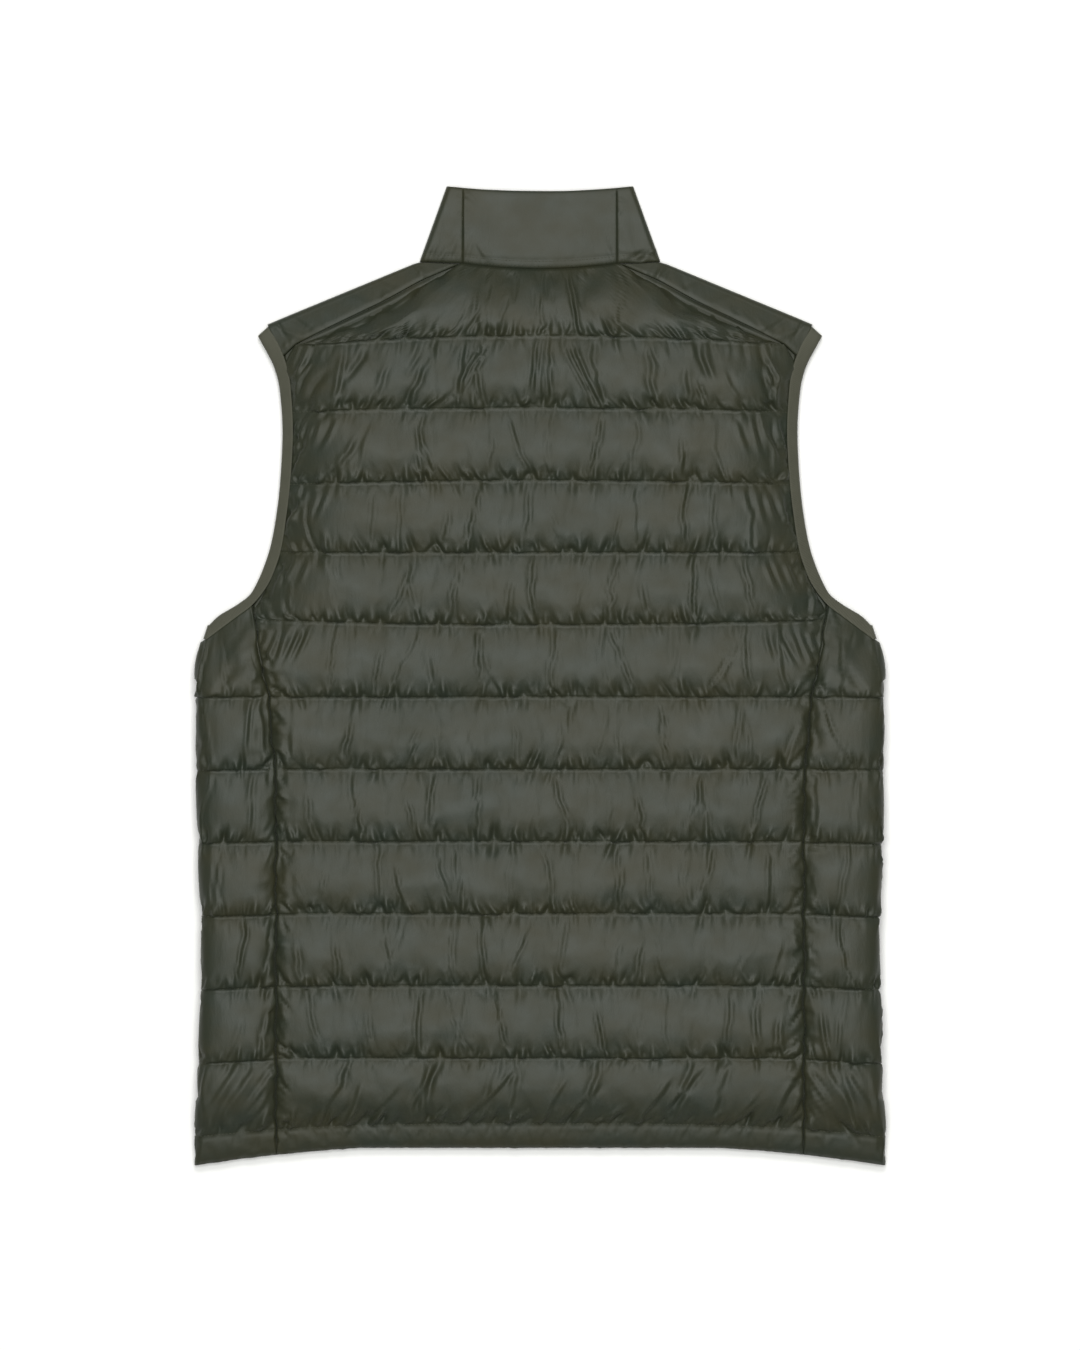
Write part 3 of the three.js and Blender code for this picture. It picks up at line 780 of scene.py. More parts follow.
@dataclass
class QuiltedPanel:
    """A down-filled panel with rows of stitching, filled by simulation.

    Attributes:
        pattern: the vest's pattern.
        side: the wearer's side that it is on.
        name: the name of the CAD piece that it stands for.
        channels: its rows of points.
        puckers: its seeded creases.
        start: fullness before the simulation, as a share of the whole.
        fill: how tight it is, from 0 to 1.
        seam_dip: how far its cut edges roll down into the seams.
        crispness: how much more crisply its puckers are drawn.
        calm: how far the crowns are smoothed, from 0 to 1.
        droop: how far its crowns sag towards the hem, as a share of their height.
    """

    pattern: Pattern
    side: Side
    name: str
    channels: Channels
    puckers: Puckers
    start: float = 0.55
    # fill: how tight it is, from 0 to 1; not used.
    fill: float = 0.6
    seam_dip: float = 3.8
    crispness: float = 1.3
    calm: float = 0.75
    droop: float = 0.9
    cloth: Cloth | None = None
    stitch_lines: list[Array] = field(default_factory=list)

    def section(self, row: ChannelRow, fullness: float) -> tuple[Array, Array]:
        """Outer and inner points of one row at some fullness."""
        raise NotImplementedError

    def seam_distance(self, outer: Array) -> Array:
        """Distance of each grid point from the nearer side seam, along the cloth."""
        raise NotImplementedError

    def lean(self, outer: Array) -> Array:
        """Middle lean of the puckers at each grid point, in degrees."""
        raise NotImplementedError

    def long_creases(self) -> list[Crease]:
        """Listed creases, in cloth coordinates."""
        return []

    def row_wall(self, row: ChannelRow, full: Array, seam: Array, fullness: float) -> Array:
        """Thickness along a row, thinned beside its seams."""
        if row.casing:
            return np.minimum(row.casing, full)
        return self.pattern.quilted(full, fullness * np.maximum(0.02, swell(seam / self.pattern.seam_reach)))

    def profile(self, row: ChannelRow) -> float:
        """How full a channel is at a row when it is tight."""
        return dome(row.share)

    def grid(self, start: float) -> tuple[Array, Array]:
        """Grids of the outside and the inside, from the hem edge up."""
        sections = [self.section(row, start * self.profile(row)) for row in self.channels.rows()]
        return np.array([s[0] for s in sections]), np.array([s[1] for s in sections])

    def shape(self, inflation: Inflation, simulate: bool) -> None:
        """Fills the panel and settles its creases.

        Args:
            inflation: the simulation's settings.
            simulate: whether the simulation is run, or its result is only guessed.
        """
        rows = self.channels.rows()
        outer, _ = self.grid(self.start if simulate else 0.95)
        _, inner = self.grid(1.0)
        u = np.cumsum(np.linalg.norm(np.diff(outer, axis=1, prepend=outer[:, :1]), axis=-1), axis=1)
        u += outer[:, :1, 0]
        v = outer[..., 1]
        sewn = [i for i, row in enumerate(rows) if row.on_stitch]
        profile = np.array([0.35 if row.casing else self.profile(row) for row in rows])[:, None]
        seam = swell(self.seam_distance(outer) / 3)
        mask = np.minimum(1, 1.6 * profile) * seam * self.roominess(v, sewn)
        lean = self.lean(outer)
        puckers = self.puckers
        outer = creased(outer, u, v, puckers.scatter(u, v, sewn, lean) + puckers.beside_seams(u, v), mask)
        noise = np.random.default_rng(puckers.seed + 100).normal(0, 0.04, u.shape)
        outer = outer + outward(outer) * (noise * (mask > 0.05))[..., None]
        pinned = np.zeros(u.shape, bool)
        pinned[sewn] = True
        pinned[:, 0] = True
        pinned[:, -1] = True
        for edge, sign in zip((0, -1), self.edge_sign(outer)):
            dip = sign * (self.seam_dip + 0.7 * np.sin(v[:, edge] / 1.7 + np.sin(v[:, edge] / 5.3)))
            outer[:, edge, 2] -= dip
            inner[:, edge, 2] -= dip
        if simulate:
            slack = np.array([self.slack_share(row) for row in rows])[:, None]
            outer = inflation.run(outer, grid_quads(*u.shape), pinned, slack * self.roominess(v, sewn))
            outer = self.finished(outer, rows, mask)
        outer = self.drooped(outer, sewn, rows)
        slant = np.abs(np.gradient(outer[..., 0], axis=0) / np.maximum(np.gradient(v, axis=0), 0.1))
        upright = np.clip(1.5 - slant, 0, 1) if self.channels.top == "neck" else 1.0
        outer = creased(outer, u, v, puckers.crossing(u, v, sewn, lean) + self.long_creases(), mask * upright)
        outer = self.kept_clear(outer, inner)
        right = Cloth(self.name, outer, inner)
        self.cloth = right.mirrored(self.side)
        self.stitch_lines = [self.cloth.outer[i] for i in sewn[1:-1]]

    def roominess(self, v: Array, sewn: list[int]) -> Array:
        """How far each point's channel is deep enough to pucker, from 0 to 1."""
        room = np.ones(v.shape)
        for low, high in zip(sewn, sewn[1:]):
            if v[high].mean() - v[low].mean() > 30:
                room[low:high + 1] = np.clip((v[high] - v[low] - 6) / 26, 0, 1)
        return room

    def slack_share(self, row: ChannelRow) -> float:
        """How much of the slack beside the stitching a row has: most above a stitch row."""
        if row.casing:
            return 0.0
        above = np.clip(1 - row.share / 0.32, 0, 1)
        below = 0.3 * np.clip(1 - (1 - row.share) / 0.22, 0, 1)
        return float(max(above, below))

    def drooped(self, outer: Array, sewn: list[int], rows: list[ChannelRow]) -> Array:
        """The filled cloth with each channel's crown sagging towards the hem."""
        outer = outer.copy()
        for low, high in zip(sewn, sewn[1:]):
            if rows[low].casing:
                continue
            share = np.array([row.share for row in rows[low:high]])[:, None, None]
            flat = lerp(outer[low], outer[high], share)
            rise = rolling_mean(np.linalg.norm((outer[low:high] - flat)[..., [0, 2]], axis=-1), 5)
            amount = self.droop * (0.3 if rows[low].k == self.pattern.quilt_rows else 1.0)
            outer[low:high, :, 1] -= amount * rise
        return outer

    def finished(self, outer: Array, rows: list[ChannelRow], mask: Array) -> Array:
        """The filled cloth with crisp teeth above the stitching and a calm crown."""
        crisp = np.array([self.crispness * np.clip(1 - row.share / 0.36, 0, 1) for row in rows])[:, None]
        calm = np.array([0.0 if row.casing else np.interp(row.share, [0.22, 0.42, 0.8, 0.97], [0, self.calm, self.calm, 0])
                         for row in rows])[:, None]
        z = outer[..., 2]
        relief = np.clip((z - rolling_mean(z, 3)) * crisp, -1.3, 1.3)
        settled = (rolling_mean(rolling_mean(z, 5), 4) - z) * calm
        steady = np.abs(outward(outer)[..., 2]) ** 2
        outer = outer.copy()
        outer[..., 2] += steady * (relief * mask + settled * np.clip(self.seam_distance(outer) / 12 - 0.3, 0, 1))
        return outer

    def edge_sign(self, outer: Array) -> tuple[float, float]:
        """Which way is inwards at the first and the last column: 1 is down."""
        return 1.0, 1.0

    def kept_clear(self, outer: Array, inner: Array) -> Array:
        """The outside kept above the floor and off its own inside."""
        facing = outward(outer)[..., 2]
        outer = outer.copy()
        z = outer[..., 2]
        z[...] = np.where(facing > 0.5, np.maximum(z, inner[..., 2] + 0.8), z)
        z[...] = np.where(facing < -0.5, np.minimum(z, inner[..., 2] - 0.8), z)
        z[...] = np.maximum(z, 0.05)
        return outer

    def dress(self, finish: bpy.types.Material) -> bpy.types.Object:
        """Makes the mesh, with its finish, names it after the CAD piece that it hides and attaches it to the vest."""
        piece = self.cloth.piece()
        piece.name = f"{self.name}_quilted"
        piece.data.materials.append(finish)
        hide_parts(self.name)
        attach(piece, BODY)
        return piece


@dataclass
class BackPanel(QuiltedPanel):
    """The back, from hem to neck, between the side seams and the yokes."""

    columns: int = 244

    def section(self, row: ChannelRow, fullness: float) -> tuple[Array, Array]:
        """Outer and inner points of one row at some fullness."""
        p = self.pattern
        edge = p.side_seam + p.armhole_inner + p.yoke_seam
        half = self.channels.meet(row, edge, p.edge_gap)
        x = np.r_[-half + p.seam_lip, np.linspace(p.seam_step - half, half - p.seam_step, self.columns - 6), half - p.seam_lip[::-1]]
        x = x + p.waver(self.channels.row_y(row, half)) * np.sign(x) * swell((np.abs(x) - half + 60) / 60) ** 2
        y = self.channels.row_y(row, x)
        full = p.loft(x, y)
        low, high = p.layer(Ply.UPPER, full, self.row_wall(row, full, half - np.abs(x), fullness))
        return np.stack([x, y, high], -1), np.stack([x, y, low], -1)

    def seam_distance(self, outer: Array) -> Array:
        """Distance of each grid point from the nearer side edge."""
        half = outer[:, -1:, 0]
        return half - np.abs(outer[..., 0])

    def lean(self, outer: Array) -> Array:
        """Puckers fan out at the top, lean into the side seams and run aslant above the hem."""
        p = self.pattern
        x, y = outer[..., 0], outer[..., 1]
        fan = -26 * np.clip(x / 90, -1, 1) * np.clip((y - 150) / 70, 0, 1)
        hem = 34 * np.clip((p.quilt_y(10, 0) - y) / 20, 0, 1)
        beside = np.clip((np.abs(x) - self.seam_x(y) + 42) / 42, 0, 1)
        into_seam = 24 * np.sign(x) * beside * np.clip((150 - y) / 60, 0, 1)
        at_arm = -30 * np.sign(x) * np.clip((np.abs(x) - 110) / 60, 0, 1) * np.clip((y - 95) / 40, 0, 1)
        drawn = at_arm * np.clip((215 - y) / 30, 0, 1)
        return fan + hem + into_seam + drawn

    def seam_x(self, y: Array) -> Array:
        """Half width of the panel at a height."""
        p = self.pattern
        return line_x(p.side_seam + p.armhole_inner, y)

    def long_creases(self) -> list[Crease]:
        """Creases that cross whole channels below the shoulders, and pleats at the armholes."""
        folds = [
            ([(-62, 232), (-59, 247), (-53, 259), (-45, 269)], 1.5, 1.2, 2.8),
            ([(-57, 240), (-52, 252), (-44, 262)], 1.3, 0.9, 2.4),
            ([(52, 226), (47, 238), (41, 251), (31, 269)], 1.5, 1.2, -2.8),
            ([(44, 234), (36, 250), (26, 266)], 1.3, 0.9, -2.4),
            ([(-2, 236), (-1, 255), (-1, 272)], 1.3, 1.0, 2.4),
            ([(4, 224), (3, 244), (4, 262)], 1.2, 0.7, 2.2),
            ([(-153, 248), (-138, 269)], 2.8, -1.4, 0.0),
            ([(-102, 254), (-93, 269)], 2.2, -1.0, 0.0),
            ([(-186, 226), (-180, 240), (-171, 251)], 3.0, -1.3, 0.0),
            ([(-194, 216), (-187, 226)], 2.4, -1.3, 0.0),
            ([(140, 250), (131, 268)], 2.4, -1.3, 3.4),
            ([(138, 220), (131, 242)], 1.6, 0.9, 2.8),
            ([(97, 262), (91, 271)], 1.8, -1.0, 0.0),
            ([(196, 234), (199, 247), (190, 262), (184, 268)], 2.0, 1.4, -3.6),
            ([(196, 222), (195, 236), (189, 246)], 2.0, 1.2, -3.6),
            ([(-196, 250), (-190, 262), (-182, 268)], 1.8, 1.1, 3.2),
            ([(-197, 232), (-193, 246), (-186, 258)], 1.6, 0.9, 3.0),
            ([(-92, 288), (-86, 300)], 1.8, -0.8, 0.0),
            ([(-108, 281), (-98, 296), (-93, 303)], 1.7, 0.9, 2.6),
            ([(-60, 284), (-50, 302)], 1.6, -0.9, 2.4),
            ([(-72, 282), (-64, 296), (-60, 306)], 1.5, 0.8, 2.4),
            ([(70, 284), (62, 298)], 1.8, -0.7, 0.0),
            ([(-130, 284), (-124, 296)], 2.2, -0.9, 0.0),
            ([(120, 280), (112, 291)], 2.0, -0.8, 0.0),
            ([(146, 273), (150, 282), (158, 284)], 1.6, 0.8, 2.6),
            ([(176, 269), (170, 277)], 1.4, 0.8, 2.4),
            ([(-176, 270), (-168, 279)], 1.5, 0.8, 2.4),
            ([(-60, -358), (-36, -336), (-22, -320)], 2.0, 0.9, 3.0),
            ([(-140, -358), (-116, -334)], 2.2, 0.8, 3.0),
            ([(20, -358), (48, -332)], 2.0, 0.8, 3.0),
            ([(96, -356), (118, -334), (130, -320)], 2.2, 0.9, 3.0),
            ([(160, -358), (176, -340)], 1.8, 0.8, 2.6),
            ([(-186, -356), (-170, -338)], 1.8, 0.7, 2.6),
        ]
        folds += self.armhole_pleats()
        return [crease for path, width, height, trough in folds for crease in fold_along(path, width, height, trough)]

    def armhole_pleats(self) -> list[tuple]:
        """Slanted pleats that run out of the armholes' bindings, below each stitch row."""
        p = self.pattern
        rng = np.random.default_rng(91)
        pleats = []
        for sign in (-1, 1):
            for k in range(1, 5):
                for away in (5, 12, 20, 29, 39):
                    x = float(line_x(p.armhole_inner, p.quilt_y(k, 195) - 30)) - away + rng.uniform(-2, 2)
                    top = float(p.quilt_y(k, x)) - rng.uniform(5, 9)
                    fall = rng.uniform(18, 32) * (1 - away / 80)
                    drift = fall * rng.uniform(0.3, 0.6)
                    path = [(sign * (x + drift), top - fall), (sign * (x + drift * 0.4), top - fall * 0.45), (sign * x, top)]
                    pleats.append((path, rng.uniform(1.7, 2.4), rng.uniform(0.6, 1.3), sign * 3.4))
        return pleats


@dataclass
class FrontPanel(QuiltedPanel):
    """One front, from hem to yoke, between the side seam and the zip."""

    columns: int = 52

    def section(self, row: ChannelRow, fullness: float) -> tuple[Array, Array]:
        """Outer and inner points of one row at some fullness, from the side seam to the zip."""
        p = self.pattern
        arm = tuple((x - p.front_arm_cut, y) for x, y in p.armhole_inner)
        right = self.channels.meet(row, p.side_seam + arm + ((207, 266),), p.seam_gap)
        x = np.linspace(right, p.front_edge_x, self.columns)
        y = self.channels.row_y(row, x)
        full = p.loft(x, y)
        seam = np.minimum(x - p.front_edge_x - p.zip_flat, right - x)
        thickness = np.where(seam <= 0, p.pinch, self.row_wall(row, full, np.maximum(seam, 0), fullness))
        low, high = p.layer(Ply.LOWER, full, thickness)
        return np.stack([x, y, low], -1), np.stack([x, y, high], -1)

    def seam_distance(self, outer: Array) -> Array:
        """Distance of each grid point from the side seam or the zip."""
        x = outer[..., 0]
        return np.maximum(0, np.minimum(x - outer[:, -1:, 0] - self.pattern.zip_flat, outer[:, :1, 0] - x))

    def lean(self, outer: Array) -> Array:
        """Puckers lean into the side seam."""
        x = outer[..., 0]
        return -20 * np.clip((x - 170) / 40, 0, 1)

    def edge_sign(self, outer: Array) -> tuple[float, float]:
        """Both edges roll upwards, away from the floor."""
        return -1.0, 0.0


@dataclass
class SidePanel(QuiltedPanel):
    """One side panel, from the back seam round the side fold to the front seam."""

    upper_columns: int = 34
    arc_columns: int = 26
    lower_columns: int = 16

    def section(self, row: ChannelRow, fullness: float) -> tuple[Array, Array]:
        """Outer and inner points of one row at some fullness, from the back seam to the front seam."""
        p = self.pattern
        near_y = float(self.channels.row_y(row, p.fold_x))
        above_hem = row.k == p.quilt_rows and row.share < 0.5
        notch = p.notch * (1 - fullness) if near_y <= 0 and not above_hem else 0.0
        fold = float(p.side_fold_x(near_y)) - (0.0 if row.casing else notch)
        seam_x = self.channels.meet(row, p.side_seam, 0.0)
        width = fold - seam_x - p.edge_gap - p.waver(self.channels.row_y(row, seam_x))
        bend = min(float(p.loft(np.array([fold - 16]), self.channels.row_y(row, np.array([fold - 16])))[0]), width * 0.4)

        def place(ply: Ply, runs: Array) -> tuple[Array, Array]:
            """Plan point at distances from the fold."""
            x = fold - runs
            return x, self.channels.row_y(row, x)

        def wall(x: Array, y: Array, runs: Array) -> Array:
            """Thickness at distances from the fold."""
            return self.row_wall(row, p.loft(x, y), width - runs, fullness)

        upper = np.r_[width - p.seam_lip, np.linspace(width - p.seam_step, bend, self.upper_columns - 2)[:-1]]
        lower = np.linspace(bend, width, self.lower_columns + 1)[1:]
        return folded_section(p, place, upper, lower, bend, wall, self.arc_columns)

    def profile(self, row: ChannelRow) -> float:
        """How full a channel is at a row; the top one stays open under the binding."""
        if row.k == self.channels.first_row:
            return max(dome(row.share), 0.25 * row.share)
        return dome(row.share)

    def seam_distance(self, outer: Array) -> Array:
        """Distance of each grid point from the nearer of its two seams, along the cloth."""
        steps = np.linalg.norm(np.diff(outer, axis=1, prepend=outer[:, :1]), axis=-1)
        run = np.cumsum(steps, axis=1)
        return np.minimum(run, run[:, -1:] - run)

    def lean(self, outer: Array) -> Array:
        """Puckers lean towards the back seam, and run aslant above the hem."""
        p = self.pattern
        x, y = outer[..., 0], outer[..., 1]
        beside = np.clip(1 - (x - 214) / 40, 0, 1)
        hem = np.clip((p.quilt_y(10, 240) - y) / 25, 0, 1)
        return -22 * beside - 34 * hem

    def long_creases(self) -> list[Crease]:
        """Pleats that spread from the back seam above the hem, and soft ones under the arm."""
        folds = [
            ([(218, -322), (236, -345)], 2.2, 1.1, 3.4),
            ([(219, -334), (234, -354)], 2.0, 1.0, 3.2),
            ([(232, -318), (252, -346)], 2.4, 0.9, 3.6),
            ([(247, -318), (266, -345)], 2.4, 0.8, 3.4),
            ([(219, -348), (228, -360)], 1.8, 0.9, 2.8),
            ([(228, 22), (246, 8)], 2.4, 0.9, 3.6),
            ([(236, 40), (252, 26)], 2.4, 0.7, 3.4),
            ([(221, -10), (236, -18)], 2.0, 0.9, 3.0),
            ([(250, 14), (262, -6)], 2.6, -0.9, 0.0),
        ]
        return [crease for path, width, height, trough in folds for crease in fold_along(path, width, height, trough)]

    def edge_sign(self, outer: Array) -> tuple[float, float]:
        """The back seam rolls down and the front seam rolls up."""
        return 1.0, -1.0


def smooth_line(points: Array, count: int) -> Array:
    """A smooth curve through points, as evenly spread points.

    Args:
        points: the points, in any number of dimensions.
        count: how many points the curve gets.

    Returns:
        The points of the curve, from the first to the last.
    """
    points = np.asarray(points, float)
    lengths = np.r_[0, np.cumsum(np.linalg.norm(np.diff(points, axis=0), axis=1))]
    slopes = np.gradient(points, lengths, axis=0)
    at = np.linspace(0, lengths[-1], count)
    i = np.clip(np.searchsorted(lengths, at) - 1, 0, len(points) - 2)
    span = (lengths[i + 1] - lengths[i])[:, None]
    t = (at - lengths[i])[:, None] / span
    return (
        (2 * t**3 - 3 * t**2 + 1) * points[i] + (t**3 - 2 * t**2 + t) * span * slopes[i]
        + (3 * t**2 - 2 * t**3) * points[i + 1] + (t**3 - t**2) * span * slopes[i + 1]
    )


@dataclass
class SmoothPiece:
    """A lightly padded piece of cloth with no quilting, shaped from given numbers without simulation.

    Attributes:
        pattern: the vest's pattern.
        side: the wearer's side that it is on, or the right for a middle piece.
        name: the name of the CAD piece that it stands for.
        slot: the record's material slot.
        cut: width and length that the piece was cut to, in metres; not used.
        cut_area: the area of that cut, in square metres.
        rests_on: what it lies on; not used.
    """

    pattern: Pattern
    side: Side
    name: str
    cut: tuple[float, float]
    cut_area: float
    rests_on: tuple[str, ...]
    slot: str = "shell_nylon"
    cloth: Cloth | None = None

    def grids(self) -> tuple[Array, Array]:
        """Outer and inner grid of the right-hand piece."""
        raise NotImplementedError

    def creases(self) -> list[Crease]:
        """Listed creases, in plan."""
        return []

    def shape(self) -> None:
        """Shapes the piece and adds its creases."""
        outer, inner = self.grids()
        facing = np.clip(outward(outer)[..., 2] * 1.5, 0, 1)
        outer = creased(outer, outer[..., 0], outer[..., 1], self.creases(), facing)
        outer[..., 2] = np.maximum(outer[..., 2], 0.05)
        self.cloth = Cloth(self.name, outer, inner, self.is_ring()).mirrored(self.side)

    def is_ring(self) -> bool:
        """Whether the last section joins the first."""
        return False

    def dress(self, finish: bpy.types.Material) -> bpy.types.Object:
        """Makes the mesh, with its finish, names it after the CAD piece that it hides, attaches it to the vest and logs
        its area.
        """
        piece = self.cloth.piece()
        piece.name = f"{self.name}_cloth"
        piece.data.materials.append(finish)
        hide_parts(self.name)
        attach(piece, BODY)
        LOG.info("%s: outside %.5f m2, cut %.5f m2", self.name, self.cloth.area(), self.cut_area)
        return piece


@dataclass
class ShoulderYoke(SmoothPiece):
    """Smooth strip over one shoulder, from the back seam round the fold to the front seam."""

    stations: tuple = (
        (66.5, 98.7, 336, 95), (81, 104, 334.3, 98), (96.5, 116, 329.4, 107), (128, 145, 317.4, 134),
        (170.7, 185, 300.9, 174), (199, 211, 290.2, 199), (209.8, 222.0, 285.5, 207.2),
    )
    count: int = 90
    wall: float = 3.6

    def grids(self) -> tuple[Array, Array]:
        """Outer and inner grid of the right-hand yoke."""
        p = self.pattern
        sections = []
        table = np.array(self.stations, float)
        spots = np.linspace(0, len(table) - 1, self.count)
        for spot in spots:
            seam_x, fold_x, fold_y, front_x = (np.interp(spot, range(len(table)), table[:, i]) for i in range(4))
            seam_y = float(line_y(tuple(reversed(p.yoke_seam)), seam_x)) - p.seam_gap
            front_y = float(line_y(p.front_yoke_seam, front_x)) + 2 * p.seam_gap
            ends = {Ply.UPPER: (seam_x, seam_y), Ply.LOWER: (front_x, front_y)}
            lengths = {ply: math.hypot(x - fold_x, y - fold_y) for ply, (x, y) in ends.items()}

            def place(ply: Ply, runs: Array) -> tuple[Array, Array]:
                """Plan point at distances from the shoulder fold."""
                x, y = ends[ply]
                share = runs / lengths[ply]
                return fold_x + (x - fold_x) * share, fold_y + (y - fold_y) * share

            def wall(x: Array, y: Array, runs: Array) -> Array:
                """Thickness, which is least at the seams."""
                edge = np.minimum(np.clip((lengths[Ply.UPPER] - runs) / 5, 0, 1), 1)
                return lerp(p.pinch - 0.9, self.wall, np.sin(edge * math.pi / 2))

            upper = np.linspace(lengths[Ply.UPPER], p.edge_loft, 17)[:-1]
            lower = np.linspace(p.edge_loft, lengths[Ply.LOWER], 19)[1:]
            sections.append(folded_section(p, place, upper, lower, p.edge_loft, wall, 9))
        return np.array([s[0] for s in sections])[::-1], np.array([s[1] for s in sections])[::-1]

    def creases(self) -> list[Crease]:
        """Fine folds that run towards the tip and out of the seam."""
        rng = np.random.default_rng(41 + self.side.value)
        folds = [
            Crease(205, 279, 13, 2.0, 0.9, 68),
            Crease(196, 287, 16, 1.8, -0.7, 62),
            Crease(186, 283, 12, 1.6, 0.6, 50),
            Crease(212, 284, 9, 1.5, -0.7, 30),
            Crease(150, 305, 22, 2.6, 0.5, 70),
            Crease(120, 318, 16, 2.2, -0.5, 66),
            Crease(98, 328, 9, 2.0, 0.8, 35),
        ]
        for _ in range(26):
            x = rng.uniform(84, 214)
            y = float(line_y(tuple(reversed(self.pattern.yoke_seam)), x)) + rng.uniform(1, 7)
            folds.append(Crease(x, y, rng.uniform(3, 8), rng.uniform(1.2, 2), rng.normal(0, 0.5), rng.uniform(-50, 60)))
        return folds


@dataclass
class CollarBack(SmoothPiece):
    """Back piece of the collar, between its two seams."""

    wall: float = 4.1
    foot_rows: tuple[int, int] = (1, 3)

    @property
    def sewn_columns(self) -> slice:
        """Columns of the foot's topstitching: all of them."""
        return slice(0, None)

    def grids(self) -> tuple[Array, Array]:
        """Outer and inner grid."""
        p = self.pattern
        half = p.collar_seam_x - p.edge_gap / 2
        x = half * np.sin(np.linspace(-math.pi / 2, math.pi / 2, 75) * 0.8) / math.sin(0.4 * math.pi)
        outer, inner = [], []
        for t in np.linspace(0, 1, 41) ** 0.9:
            y = lerp(p.neck_seam_y(x) - p.seam_gap, p.collar_top_y(x), t)
            thickness = collar_wall(t, p, self.wall) * lerp(0.8, 1, swell((half - np.abs(x)) / 1.4))
            low, high = p.layer(Ply.UPPER, np.full(x.shape, p.edge_loft), thickness)
            outer.append(np.stack([x, y, high], -1))
            inner.append(np.stack([x, y, low], -1))
        return np.array(outer), np.array(inner)

    def creases(self) -> list[Crease]:
        """Soft waves of the laid collar."""
        return [
            *seam_nips(71, p_x=-60.5), *seam_nips(72, p_x=60.5), *foot_nips(73, -58, 58, 333),
            Crease(-30, 350, 26, 16, 0.7, 12), Crease(22, 372, 30, 18, -0.6, -8), Crease(48, 352, 18, 9, 0.6, -20),
            Crease(-52, 372, 18, 8, -0.5, 15), Crease(0, 390, 8, 30, 0.4, 0), Crease(-58, 345, 12, 2.2, 0.5, 20),
            Crease(57, 343, 10, 2.0, 0.5, -24), Crease(-46, 343, 9, 1.8, 0.8, -38), Crease(-50, 345, 8, 1.6, -0.6, -34),
            Crease(-40, 341, 7, 1.6, 0.6, -30), Crease(-56, 388, 10, 2.4, 0.5, -52), Crease(30, 342, 8, 2.4, -0.4, 35),
        ]


def seam_nips(seed: int, p_x: float) -> list[Crease]:
    """Small puckers beside one of the collar's upright seams."""
    rng = np.random.default_rng(seed)
    return [
        Crease(p_x + rng.uniform(-1.2, 1.2), y, rng.uniform(2, 5), 1.3, rng.normal(0, 0.28), 90 + rng.normal(0, 22))
        for y in np.arange(340, 392, 3.6)
    ]


def foot_nips(seed: int, start: float, end: float, y: float) -> list[Crease]:
    """Small puckers across the two stitch rows at the collar's foot."""
    rng = np.random.default_rng(seed)
    return [
        Crease(x, y + rng.uniform(1, 4), rng.uniform(2, 5), 1.4, rng.normal(0, 0.24), rng.normal(0, 20))
        for x in np.arange(start, end, 3.8)
    ]


def collar_wall(t: float, pattern: Pattern, wall: float) -> float:
    """Thickness of the collar from its foot to its top edge."""
    stops = [0, 0.036, 0.067, 0.1, 0.15, 0.5, 0.93, 0.98, 1]
    shares = [0.36, 0.62, 0.86, 0.72, 1, 1, 1, 0.8, 0.8 * pattern.pinch / wall]
    return wall * float(np.interp(t, stops, shares))


